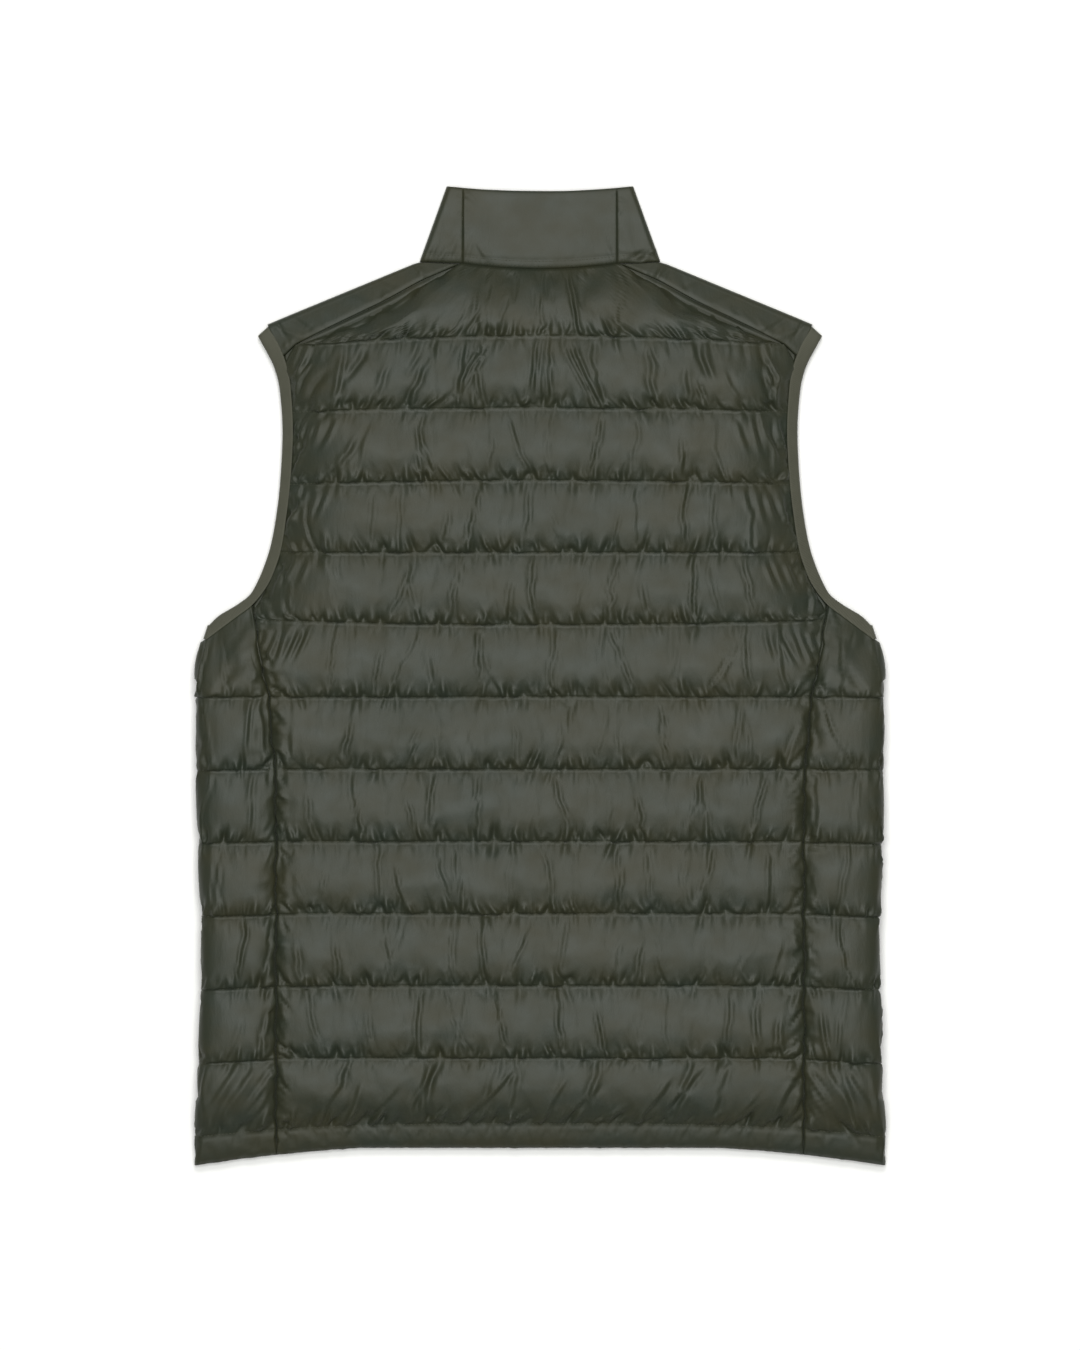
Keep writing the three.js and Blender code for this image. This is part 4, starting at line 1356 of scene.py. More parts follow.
@dataclass
class CollarSide(SmoothPiece):
    """Side piece of the collar, from the back seam round the neck fold to the zip."""

    wall: float = 4.1
    foot_rows: tuple[int, int] = (1, 3)

    @property
    def sewn_columns(self) -> slice:
        """Columns of the foot's topstitching, on the upper ply."""
        return slice(0, 19) if self.side is Side.RIGHT else slice(-19, None)

    def grids(self) -> tuple[Array, Array]:
        """Outer and inner grid of the right-hand piece."""
        p = self.pattern
        seam_x = p.collar_seam_x + p.edge_gap / 2
        foot_sweep = p.neck_half - p.front_edge_x
        top_sweep = p.collar_half - p.front_edge_x
        foot = (p.neck_half, p.neck_seam[2] - p.seam_gap)
        below = p.collar_front_length
        sections = []
        for t in np.linspace(0, 1, 41) ** 0.9:
            fold = (lerp(foot[0], p.collar_half, t), lerp(foot[1], p.collar_top[1], t))
            seam_y = lerp(float(p.neck_seam_y(seam_x)) - p.seam_gap, float(p.collar_top_y(seam_x)), t)
            above = math.hypot(fold[0] - seam_x, fold[1] - seam_y)

            def place(ply: Ply, runs: Array) -> tuple[Array, Array]:
                """Plan point at distances from the neck fold."""
                if ply is Ply.UPPER:
                    share = runs / above
                    return fold[0] + (seam_x - fold[0]) * share, fold[1] + (seam_y - fold[1]) * share
                angle = np.clip(runs / below, 0, 1) * math.pi / 2
                foot_x = p.neck_half - foot_sweep * (1 - np.cos(angle))
                neck = line_y(p.front_neck, foot_x) + 2 * p.seam_gap + 0.3 * (1 - runs / below)
                foot_y = np.minimum(fold[1], neck)
                top_x = p.collar_half - top_sweep * (1 - np.cos(angle))
                top_y = p.collar_top[1] - p.collar_front_drop * np.sin(angle)
                return lerp(foot_x, top_x, t), lerp(foot_y, top_y, t)

            def wall(x: Array, y: Array, runs: Array) -> Array:
                """Thickness, which is least at the seams."""
                thick = collar_wall(t, p, self.wall)
                at_seam = lerp(0.8, 1, swell(np.abs(above - runs) / 1.4)) if np.max(runs) <= above + 0.01 else 1.0
                return np.where(runs > 0.89 * below, np.minimum(thick, p.pinch), thick * at_seam)

            upper = np.linspace(above, p.edge_loft, 17)[:-1]
            lower = np.linspace(p.edge_loft, below, 46)[1:]
            sections.append(folded_section(p, place, upper, lower, p.edge_loft, wall, 9))
        return np.array([s[0] for s in sections]), np.array([s[1] for s in sections])

    def creases(self) -> list[Crease]:
        """A pinch at the foot of the fold, and soft waves above it."""
        if self.side is Side.RIGHT:
            return [
                *seam_nips(74, p_x=64.7), *foot_nips(75, 66, 94, 337),
                Crease(84, 337.5, 9, 2.4, 2.6, 58), Crease(80, 341.5, 8, 2.0, -2.0, 62),
                Crease(90, 341, 8, 1.9, -2.2, 78), Crease(91, 345, 7, 1.8, 1.2, 74), Crease(72, 352, 16, 4, 0.5, -18), Crease(76, 372, 18, 5, -0.4, -16),
            ]
        return [
            *seam_nips(76, p_x=64.7), *foot_nips(77, 66, 94, 337),
            Crease(80, 341, 9, 1.8, 1.0, -35), Crease(88, 343, 9, 1.6, -0.9, -28), Crease(72, 346, 12, 2.2, 0.8, -22),
            Crease(75, 366, 18, 5, 0.4, -18),
        ]


@dataclass
class ArmholeBinding(SmoothPiece):
    """Knitted binding round one armhole, folded over at the shoulder and under the arm."""

    wall: float = 3.6
    lap: float = 0.9
    per_edge: int = 130
    spread: float = 3.0

    def is_ring(self) -> bool:
        """The binding joins itself under the arm."""
        return True

    def grids(self) -> tuple[Array, Array]:
        """Outer and inner grid of the right-hand binding."""
        p = self.pattern
        beside = -self.lap
        inner_edge = [(x, float(p.underarm_y(x)) + beside) for x in (271.3, 259, 246, 235)]
        inner_edge += [(x + beside, y) for x, y in p.armhole_inner + p.shoulder_end]
        joined = smooth_line(np.hstack([np.array(inner_edge), np.array(p.armhole_outer)]), self.per_edge)
        across = np.array([0, 0.08, 0.2, 0.35, 0.5, 0.65, 0.8, 0.92, 1])
        round_off = 1 - 0.55 * np.abs(2 * across - 1) ** 5

        def section(ply: Ply, i: int) -> tuple[Array, Array]:
            """Outer and inner points across the binding at one station."""
            x = lerp(joined[i, 0], joined[i, 2], across)
            y = lerp(joined[i, 1], joined[i, 3], across)
            low, high = p.layer(ply, p.loft(x, y), np.full(x.shape, self.wall))
            middle = (low + high) / 2
            high = middle + (high - middle) * round_off + 0.35 * (round_off - 0.45) + 0.9 * (1 - across) ** 6
            low = np.maximum(0.05, middle - (middle - low) * round_off)
            top, bottom = (high, low) if ply is Ply.UPPER else (low, high)
            return np.stack([x, y, top], -1), np.stack([x, y, bottom], -1)

        def turn(i: int, out: tuple[float, float], degrees: list[float]) -> list[tuple[Array, Array]]:
            """Sections round the fold at one end."""
            turned = []
            for angle in np.radians(degrees):
                pair = []
                for above, below, reach in zip(section(Ply.UPPER, i), section(Ply.LOWER, i), (self.spread, 0.3)):
                    middle = (above[:, 2] + below[:, 2]) / 2
                    rise = (above[:, 2] - below[:, 2]) / 2
                    push = reach * math.cos(angle) * (1 - 0.6 * across)
                    pair.append(np.stack([
                        above[:, 0] + out[0] * push, above[:, 1] + out[1] * push, middle + rise * math.sin(angle),
                    ], -1))
                turned.append((pair[0], pair[1]))
            return turned

        falling = [60, 30, 0, -30, -60]
        stations = range(self.per_edge)
        sections = [section(Ply.UPPER, i) for i in stations]
        sections += turn(self.per_edge - 1, (0.382, 0.924), falling)
        sections += [section(Ply.LOWER, i) for i in reversed(stations)]
        sections += turn(0, (0.98, 0.2), falling[::-1])
        outer = np.array([s[0] for s in sections])[:, ::-1]
        inner = np.array([s[1] for s in sections])[:, ::-1]
        return outer, inner

    def creases(self) -> list[Crease]:
        """Small ripples where the binding draws the armhole in."""
        rng = np.random.default_rng(61 + self.side.value)
        ripples = []
        for y in np.arange(60, 270, 5.5):
            x = float(line_x(self.pattern.armhole_inner, y)) + rng.uniform(1, 4)
            ripples.append(Crease(x, y + rng.uniform(-2, 2), 4, 1.8, rng.normal(0, 0.28), 90 + rng.normal(0, 14)))
        return ripples


@dataclass
class ZipTape(SmoothPiece):
    """One tape of the front zip."""

    edge: float = 14.0
    inner_x: float = 0.9
    half: float = 0.5
    end_gap: float = 8.0
    slider_y: float = 304.0

    def tape_z(self, y: Array) -> Array:
        """Height of the middle of the tape."""
        p = self.pattern
        _, high = p.layer(Ply.LOWER, p.loft(np.zeros_like(y), y), np.full(y.shape, p.pinch))
        return high + p.seam_gap + self.half

    def grids(self) -> tuple[Array, Array]:
        """Outer and inner grid of the right-hand tape; its outside faces the floor."""
        p = self.pattern
        bottom = float(p.hem_edge_y(0)) + self.end_gap
        top = p.collar_top[1] - p.collar_front_drop - 4
        y = np.linspace(bottom, top, 240)
        z = self.tape_z(y)
        spread = 1.1 * np.clip((y - self.slider_y + 5) / 10, 0, 1)
        x = np.linspace(self.edge, self.inner_x, 9)[None, :] + spread[:, None] * np.linspace(0, 1, 9)[None, :]
        shape = np.ones_like(x)
        flat_y = y[:, None] * shape
        outer = np.stack([x, flat_y, (z - self.half)[:, None] * shape], -1)
        inner = np.stack([x, flat_y, (z + self.half)[:, None] * shape], -1)
        return outer, inner


@dataclass
class ZipChain:
    """Moulded teeth on both tapes, below the slider."""

    tape: ZipTape
    pitch: float = 1.9
    reach: float = 2.9
    overlap: float = 0.5
    half: float = 1.35
    thick: float = 0.62

    def dress(self, finish: bpy.types.Material) -> bpy.types.Object:
        """Makes all the teeth as one mesh."""
        bottom = float(self.tape.pattern.hem_edge_y(0)) + self.tape.end_gap + 3
        heights = np.arange(bottom, self.tape.slider_y - 6, self.pitch)
        points, faces = [], []
        for number, y in enumerate(heights):
            sign = 1 if number % 2 else -1
            z = float(self.tape.tape_z(np.array([y]))[0])
            faces += (BOX_QUADS + len(points)).tolist()
            points += self.tooth(sign, y, z)
        points = np.array(points) * MM
        quads = np.array(faces)
        piece = new_piece("zip_teeth", points, quads)
        piece.data.polygons.foreach_set("use_smooth", [False] * len(quads))
        piece.data.materials.append(finish)
        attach(piece, BODY)
        return piece

    def tooth(self, sign: int, y: float, z: float) -> list[list[float]]:
        """Corners of one tooth: wide where it grips its neighbours, narrow on the tape."""
        corners = []
        for x, deep, half in ((-self.overlap, self.thick, self.half * 0.8), (0.5, self.thick, self.half),
                              (self.reach, self.thick * 0.55, self.half)):
            ring = [(y - deep, z - half), (y + deep, z - half), (y + deep, z + half), (y - deep, z + half)]
            if sign < 0:
                ring.reverse()
            corners += [[sign * x, at_y, at_z] for at_y, at_z in ring]
        return corners


BOX_QUADS = np.array([
    [3, 2, 1, 0], [8, 9, 10, 11],
    [0, 1, 5, 4], [1, 2, 6, 5], [2, 3, 7, 6], [3, 0, 4, 7],
    [4, 5, 9, 8], [5, 6, 10, 9], [6, 7, 11, 10], [7, 4, 8, 11],
])


@dataclass
class Stitching:
    """Lines of thread sewn through the cloth, all as one mesh.

    Attributes:
        name: the piece's name.
        pitch: distance from stitch to stitch, in millimetres.
        gap: share of the pitch where the thread is inside the cloth.
        radius: half the thread's thickness.
        lift: how far the thread stands off the cloth.
    """

    name: str
    pitch: float = 3.0
    gap: float = 0.3
    radius: float = 0.24
    lift: float = 0.1
    sides: int = 5
    points: list = field(default_factory=list)
    faces: list = field(default_factory=list)

    def sew(self, line: Array, up: float = 1.0) -> None:
        """Adds the stitches along a line of points in millimetres."""
        run = np.r_[0, np.cumsum(np.linalg.norm(np.diff(line, axis=0), axis=1))]
        starts = np.arange(self.pitch / 2, run[-1] - self.pitch, self.pitch)
        for start in starts:
            ends = [[np.interp(at, run, line[:, i]) for i in range(3)] for at in
                    (start, start + self.pitch * (1 - self.gap))]
            self.add_stitch(np.array(ends[0]), np.array(ends[1]), up)

    def add_stitch(self, a: Array, b: Array, up: float) -> None:
        """Adds one stitch: a short rod that dips into the cloth at both ends."""
        along = (b - a) / max(1e-9, float(np.linalg.norm(b - a)))
        over = np.array([0.0, 0.0, up])
        beside = np.cross(along, over)
        beside /= max(1e-9, float(np.linalg.norm(beside)))
        over = np.cross(beside, along)
        first = len(self.points)
        for share, size, height in ((0, 0.6, -0.15), (0.25, 1, self.lift), (0.75, 1, self.lift), (1, 0.6, -0.15)):
            for i in range(self.sides):
                angle = 2 * math.pi * i / self.sides
                offset = (beside * math.cos(angle) + over * math.sin(angle)) * self.radius * size
                self.points.append(a + (b - a) * share + over * height + offset)
        for ring in range(3):
            for i in range(self.sides):
                j = (i + 1) % self.sides
                base = first + ring * self.sides
                self.faces.append((base + i, base + j, base + self.sides + j, base + self.sides + i))
        self.faces.append(tuple(first + i for i in reversed(range(self.sides))))
        self.faces.append(tuple(first + 3 * self.sides + i for i in range(self.sides)))

    def dress(self, finish: bpy.types.Material) -> bpy.types.Object:
        """Makes the mesh of all the stitches."""
        mesh = bpy.data.meshes.new(self.name)
        mesh.from_pydata((np.array(self.points) * MM).tolist(), [], self.faces)
        mesh.polygons.foreach_set("use_smooth", [True] * len(mesh.polygons))
        mesh.update()
        piece = bpy.data.objects.new(self.name, mesh)
        bpy.context.scene.collection.objects.link(piece)
        piece.data.materials.append(finish)
        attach(piece, BODY)
        return piece


@dataclass
class Slider:
    """The zip's slider: two wings, the post between them and the bridge for the pull."""

    pattern: Pattern
    y: float = 304.0
    length: float = 11.0
    half: float = 5.0
    plate: float = 1.2
    post: float = 1.5
    play: float = 0.9
    chain_half: float = 1.4
    bridge_half: float = 2.2
    bridge_wall: float = 1.0
    bridge_rise: float = 2.9
    bridge_width: float = 1.6

    def chain_z(self, tape: ZipTape) -> float:
        """Height of the middle of the chain at the slider."""
        return float(tape.tape_z(np.array([self.y]))[0])

    def pivot_z(self, tape: ZipTape) -> float:
        """Height of the pull's pivot."""
        lower = self.chain_z(tape) - self.chain_half - self.play - self.plate
        return lower - (self.bridge_rise - self.bridge_wall) / 2

    def block(self, size: tuple[float, float, float], middle: tuple[float, float, float]) -> bpy.types.Object:
        """A block in millimetres, as the start of one of the slider's members."""
        bpy.ops.object.select_all(action="DESELECT")
        bpy.ops.mesh.primitive_cube_add(size=MM, location=[c * MM for c in middle])
        block = bpy.context.active_object
        bpy.ops.object.mode_set(mode="EDIT")
        bpy.ops.mesh.select_all(action="SELECT")
        bpy.ops.transform.resize(value=size, center_override=block.location)
        bpy.ops.object.mode_set(mode="OBJECT")
        bpy.ops.object.transform_apply(location=True, rotation=True, scale=True)
        return block

    def wing(self, z: float) -> bpy.types.Object:
        """One wing, narrow at the closed end of the zip and rounded at its mouth."""
        wing = self.block((2 * self.half, self.length, self.plate), (0, self.y, z + self.plate / 2))
        bpy.ops.object.mode_set(mode="EDIT")
        bpy.ops.mesh.select_all(action="SELECT")
        bpy.ops.mesh.subdivide(number_cuts=3)
        narrow = ((-0.5, 0.72), (-0.25, 0.8), (0.0, 0.88), (0.25, 1.0), (0.5, 0.76))
        for share, width in narrow:
            line = (self.y + share * self.length) * MM
            select_vertices(wing, lambda co, line=line: abs(co.y - line) < 0.3 * MM)
            bpy.ops.transform.resize(value=(width, 1, 1), center_override=(0, line, z * MM))
        bpy.ops.object.mode_set(mode="OBJECT")
        round_edges(wing, 0.32, 2)
        return wing

    def build(self, tape: ZipTape, finish: bpy.types.Material) -> bpy.types.Object:
        """Models the slider and joins its members."""
        lower = self.chain_z(tape) - self.chain_half - self.play - self.plate
        upper = self.chain_z(tape) + self.chain_half + self.play
        members = [self.wing(lower), self.wing(upper)]
        gap = upper - lower - self.plate
        post = self.block((2 * self.post, 4.4, gap + 0.8), (0, self.y + 3.0, (lower + self.plate + upper) / 2))
        round_edges(post, 0.6, 2)
        members.append(post)
        middle = lower - self.bridge_rise / 2
        reach = 2 * self.bridge_half
        for along in (-1, 1):
            leg_y = self.y + along * (self.bridge_half - self.bridge_wall / 2)
            leg = self.block((self.bridge_width, self.bridge_wall, self.bridge_rise + 0.4), (0, leg_y, middle + 0.2))
            round_edges(leg, 0.25, 2)
            members.append(leg)
        bar_z = lower - self.bridge_rise + self.bridge_wall / 2
        bar = self.block((self.bridge_width, reach, self.bridge_wall), (0, self.y, bar_z))
        round_edges(bar, 0.3, 3)
        members.append(bar)
        slider = join_members(members, "zip_slider_cast")
        slider.data.materials.append(finish)
        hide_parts("zip_slider")
        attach(slider, BODY)
        return slider


@dataclass
class PullTab:
    """The flat tab that swings on the slider's bridge."""

    pivot_y: float
    pivot_z: float
    bar: float = 0.6
    eye_end: float = 3.1
    eye_half: float = 1.25
    neck_half: float = 2.5
    half: float = 3.6
    length: float = 31.0

    def build(self, finish: bpy.types.Material) -> bpy.types.Object:
        """Models the tab with its eye, the rim round the eye and its waist."""
        bpy.ops.object.select_all(action="DESELECT")
        bpy.ops.mesh.primitive_plane_add(size=MM, location=(0, self.pivot_y * MM, (self.pivot_z - self.bar) * MM))
        tab = bpy.context.active_object
        bpy.ops.object.transform_apply(location=True)
        bpy.ops.object.mode_set(mode="EDIT")
        bpy.ops.mesh.select_all(action="SELECT")
        origin = (0, self.pivot_y * MM, (self.pivot_z - self.bar) * MM)
        rim = self.neck_half - self.eye_half
        length = self.eye_end - self.bar + 2 * rim
        bpy.ops.transform.resize(value=(2 * self.neck_half, length, 1), center_override=origin)
        bpy.ops.transform.translate(value=(0, -(self.eye_end + self.bar) / 2 * MM, 0))
        bpy.ops.mesh.inset(thickness=rim * MM, depth=0)
        bpy.ops.mesh.delete(type="FACE")
        edge = (self.pivot_y - self.eye_end - rim) * MM
        widths = ((-8.0, 2.2), (-12.0, 2.7), (-self.length + 8, self.half), (-self.length + 2, self.half),
                  (-self.length, 2.2))
        select_edges(tab, lambda a, b: abs(a.y - edge) < 0.05 * MM and abs(b.y - edge) < 0.05 * MM)
        at = edge
        half = self.neck_half
        for reach, width in widths:
            line = (self.pivot_y + reach) * MM
            bpy.ops.mesh.extrude_region_move(TRANSFORM_OT_translate={"value": (0, line - at, 0)})
            bpy.ops.transform.resize(value=(width / half, 1, 1), center_override=(0, line, origin[2]))
            at = line
            half = width
        top = (self.pivot_y + rim) * MM
        select_vertices(tab, lambda co: co.y > top - 0.8 * MM and co.y > self.pivot_y * MM)
        bpy.ops.transform.translate(value=(0, (self.bar - rim + self.bar) * MM, 0))
        bpy.ops.mesh.select_all(action="SELECT")
        bpy.ops.mesh.remove_doubles(threshold=0.01 * MM)
        bpy.ops.mesh.normals_make_consistent(inside=False)
        bpy.ops.mesh.extrude_region_move(TRANSFORM_OT_translate={"value": (0, 0, 2 * self.bar * MM)})
        bpy.ops.mesh.select_all(action="SELECT")
        bpy.ops.mesh.normals_make_consistent(inside=False)
        bpy.ops.object.mode_set(mode="OBJECT")
        tab.name = "zip_pull_tab"
        round_edges(tab, 0.22, 2)
        tab.data.materials.append(finish)
        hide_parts("zip_pull")
        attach(tab, PULL_BODY)
        return tab


def select_vertices(piece: bpy.types.Object, test: Callable) -> None:
    """Selects, in edit mode, the vertices whose place passes a test."""
    bpy.ops.mesh.select_mode(type="VERT")
    bpy.ops.mesh.select_all(action="DESELECT")
    bpy.ops.object.mode_set(mode="OBJECT")
    for vertex in piece.data.vertices:
        vertex.select = bool(test(vertex.co))
    bpy.ops.object.mode_set(mode="EDIT")


def select_edges(piece: bpy.types.Object, test: Callable) -> None:
    """Selects, in edit mode, the edges whose two ends pass a test."""
    bpy.ops.mesh.select_mode(type="EDGE")
    bpy.ops.mesh.select_all(action="DESELECT")
    bpy.ops.object.mode_set(mode="OBJECT")
    for edge in piece.data.edges:
        a, b = (piece.data.vertices[i].co for i in edge.vertices)
        edge.select = bool(test(a, b))
    bpy.ops.object.mode_set(mode="EDIT")


def round_edges(piece: bpy.types.Object, width: float, segments: int) -> None:
    """Rounds a piece's sharp edges by a width in millimetres."""
    modifier = piece.modifiers.new("round", "BEVEL")
    modifier.width = width * MM
    modifier.segments = segments
    modifier.limit_method = "ANGLE"
    modifier.angle_limit = math.radians(40)
    apply_modifier(piece, modifier)
    bpy.ops.object.shade_smooth_by_angle(angle=math.radians(35))


def join_members(members: list[bpy.types.Object], name: str) -> bpy.types.Object:
    """Joins members into one object."""
    bpy.ops.object.select_all(action="DESELECT")
    for member in members:
        member.select_set(True)
    bpy.context.view_layer.objects.active = members[0]
    bpy.ops.object.join()
    joined = bpy.context.active_object
    joined.name = name
    return joined


class Value:
    """A number socket that can be used in Python sums; each step adds one Math node."""

    def __init__(self, shader: "Shader", socket: bpy.types.NodeSocket) -> None:
        """Wraps a socket of a shader."""
        self.shader = shader
        self.socket = socket

    def __add__(self, other: "Value | float") -> "Value":
        """Sum."""
        return self.shader.maths("ADD", self, other)

    def __radd__(self, other: float) -> "Value":
        """Sum with a number on the left."""
        return self.shader.maths("ADD", other, self)

    def __sub__(self, other: "Value | float") -> "Value":
        """Difference."""
        return self.shader.maths("SUBTRACT", self, other)

    def __rsub__(self, other: float) -> "Value":
        """Difference with a number on the left."""
        return self.shader.maths("SUBTRACT", other, self)

    def __mul__(self, other: "Value | float") -> "Value":
        """Product."""
        return self.shader.maths("MULTIPLY", self, other)

    def __rmul__(self, other: float) -> "Value":
        """Product with a number on the left."""
        return self.shader.maths("MULTIPLY", other, self)


class Shader:
    """One material's nodes."""

    def __init__(self, name: str) -> None:
        """Starts an empty material with a principled surface."""
        self.material = bpy.data.materials.new(name)
        self.material.use_nodes = True
        self.tree = self.material.node_tree
        self.tree.nodes.clear()
        self.surface = self.node("ShaderNodeBsdfPrincipled")
        self.node("ShaderNodeOutputMaterial", sockets={"Surface": self.surface.outputs["BSDF"]})

    def node(self, kind: str, settings: dict | None = None, sockets: dict | None = None) -> bpy.types.Node:
        """Adds a node.

        Args:
            kind: the node's type.
            settings: its settings; a ramp's stops are given as "stops".
            sockets: values or links of its sockets, by name or number.

        Returns:
            The node.
        """
        node = self.tree.nodes.new(kind)
        for key, value in (settings or {}).items():
            if key == "stops":
                self.set_stops(node, value)
            else:
                setattr(node, key, value)
        for key, value in (sockets or {}).items():
            self.feed(node.inputs[key], value)
        return node

    def set_stops(self, node: bpy.types.Node, stops: list) -> None:
        """Sets a ramp's stops."""
        elements = node.color_ramp.elements
        while len(elements) < len(stops):
            elements.new(0.5)
        for element, (position, colour) in zip(elements, stops):
            element.position = position
            element.color = (*colour, 1) if isinstance(colour, tuple) else (colour, colour, colour, 1)

    def feed(self, socket: bpy.types.NodeSocket, value: object) -> None:
        """Links a socket to a value, or sets it."""
        if isinstance(value, Value):
            self.tree.links.new(value.socket, socket)
        elif isinstance(value, bpy.types.NodeSocket):
            self.tree.links.new(value, socket)
        else:
            socket.default_value = value

    def maths(self, operation: str, *values: "Value | float") -> Value:
        """Adds one Math node."""
        node = self.node("ShaderNodeMath", {"operation": operation}, dict(enumerate(values)))
        return Value(self, node.outputs[0])

    def place(self, scale: tuple[float, float, float], angle: float = 0.0) -> bpy.types.NodeSocket:
        """Object coordinates, scaled and turned about Z."""
        source = self.node("ShaderNodeTexCoord")
        mapping = self.node("ShaderNodeMapping", sockets={
            "Vector": source.outputs["Object"], "Scale": scale, "Rotation": (0, 0, math.radians(angle)),
        })
        return mapping.outputs["Vector"]

    def noise(self, scale: float, detail: float, stretch: tuple = (1, 1, 1), angle: float = 0.0) -> Value:
        """Noise on object coordinates, with its scale per metre."""
        node = self.node("ShaderNodeTexNoise", sockets={
            "Vector": self.place(stretch, angle), "Scale": scale, "Detail": detail,
        })
        return Value(self, node.outputs["Fac"])

    def waves(self, per_metre: float, direction: str, distortion: float = 0.0) -> Value:
        """Bands on object coordinates; the scale is bands per metre."""
        node = self.node("ShaderNodeTexWave", {"bands_direction": direction}, {
            "Vector": self.place((1, 1, 1)), "Scale": per_metre / 6.2832 * 2, "Distortion": distortion, "Detail": 1,
        })
        return Value(self, node.outputs["Fac"])

    def blend(self, factor: Value, a: object, b: object) -> bpy.types.NodeSocket:
        """Mixes two colours."""
        node = self.node("ShaderNodeMix", {"data_type": "RGBA"})
        self.feed(node.inputs[0], factor)
        self.feed(node.inputs[6], a)
        self.feed(node.inputs[7], b)
        return node.outputs[2]

    def bump(self, height: Value, distance: float, strength: float = 1.0) -> None:
        """Feeds a height through a bump into the surface's normal."""
        node = self.node("ShaderNodeBump", sockets={"Strength": strength, "Distance": distance, "Height": height})
        self.feed(self.surface.inputs["Normal"], node.outputs["Normal"])


def rgba(colour: tuple[float, float, float]) -> tuple[float, float, float, float]:
    """Scene colour of an 8-bit screen colour."""
    linear = [(c / 255 / 12.92) if c / 255 <= 0.04045 else ((c / 255 + 0.055) / 1.055) ** 2.4 for c in colour]
    return (*linear, 1.0)


@dataclass(frozen=True)
class Nylon:
    """Thin calendered nylon with a soft gloss and a down-proof weave."""

    name: str = "olive_nylon"
    cool: tuple = (35, 42, 32)
    warm: tuple = (43, 43, 25)
    thread: float = 2400.0
    crinkle: float = 0.00022
    roughness: float = 0.54

    def material(self) -> bpy.types.Material:
        """Makes the material."""
        shader = Shader(self.name)
        cloud = shader.noise(11, 3, (1.0, 1.6, 1.0))
        patch = shader.noise(38, 2, (1.0, 1.3, 1.0), 20)
        tone = shader.maths("MULTIPLY_ADD", cloud + patch, 1.6, -1.1)
        tone.socket.node.use_clamp = True
        weave = shader.waves(self.thread, "X") * shader.waves(self.thread, "Y")
        colour = shader.blend(tone, rgba(self.cool), rgba(self.warm))
        dark = shader.blend(weave * 0.16, colour, rgba((38, 38, 28)))
        surface = shader.surface.inputs
        shader.feed(surface["Base Color"], dark)
        shader.feed(surface["Roughness"], self.roughness + (patch - 0.5) * 0.16)
        surface["Specular IOR Level"].default_value = 0.4
        surface["Sheen Weight"].default_value = 0.12
        surface["Sheen Roughness"].default_value = 0.45
        surface["Sheen Tint"].default_value = rgba((176, 182, 168))
        fine = shader.noise(300, 4, (1.0, 0.32, 1.0))
        small = shader.noise(760, 3, (1.0, 0.45, 1.0), 12)
        shader.bump(fine * 0.7 + small * 0.3 + weave * 0.05, self.crinkle)
        return shader.material


@dataclass(frozen=True)
class Knit:
    """Matt stretch binding with fine ribs along its length."""

    name: str = "olive_binding"
    colour: tuple = (64, 64, 51)
    pale: tuple = (76, 76, 63)
    ribs: float = 1150.0

    def material(self) -> bpy.types.Material:
        """Makes the material."""
        shader = Shader(self.name)
        ribs = shader.waves(self.ribs, "DIAGONAL", 0.6)
        loops = shader.waves(self.ribs, "Y", 0.4)
        mottle = shader.noise(90, 3)
        colour = shader.blend(mottle, rgba(self.colour), rgba(self.pale))
        surface = shader.surface.inputs
        shader.feed(surface["Base Color"], shader.blend(ribs * 0.25, colour, rgba((36, 36, 27))))
        shader.feed(surface["Roughness"], 0.68 + (mottle - 0.5) * 0.12)
        surface["Sheen Weight"].default_value = 0.15
        surface["Sheen Roughness"].default_value = 0.5
        surface["Sheen Tint"].default_value = rgba((170, 172, 160))
        shader.bump(ribs * 0.5 + loops * 0.5, 0.00016)
        return shader.material


@dataclass(frozen=True)
class WovenTape:
    """Herringbone zip tape."""

    name: str = "olive_zip_tape"
    colour: tuple = (50, 50, 39)
    rib: float = 1500.0

    def material(self) -> bpy.types.Material:
        """Makes the material."""
        shader = Shader(self.name)
        twill = shader.waves(self.rib, "DIAGONAL", 0.2)
        rows = shader.waves(self.rib * 0.5, "Y")
        surface = shader.surface.inputs
        shader.feed(surface["Base Color"], shader.blend(twill * 0.35, rgba(self.colour), rgba((30, 30, 22))))
        shader.feed(surface["Roughness"], 0.74 + rows * 0.08)
        shader.bump(twill * 0.7 + rows * 0.3, 0.00018)
        return shader.material


@dataclass(frozen=True)
class Thread:
    """Polyester sewing thread, a shade paler than the cloth."""

    name: str = "olive_thread"
    colour: tuple = (62, 63, 49)

    def material(self) -> bpy.types.Material:
        """Makes the material."""
        shader = Shader(self.name)
        twist = shader.waves(3600, "DIAGONAL", 0.3)
        surface = shader.surface.inputs
        shader.feed(surface["Base Color"], shader.blend(twist * 0.4, rgba(self.colour), rgba((58, 58, 44))))
        surface["Roughness"].default_value = 0.5
        shader.bump(twist, 0.00006)
        return shader.material


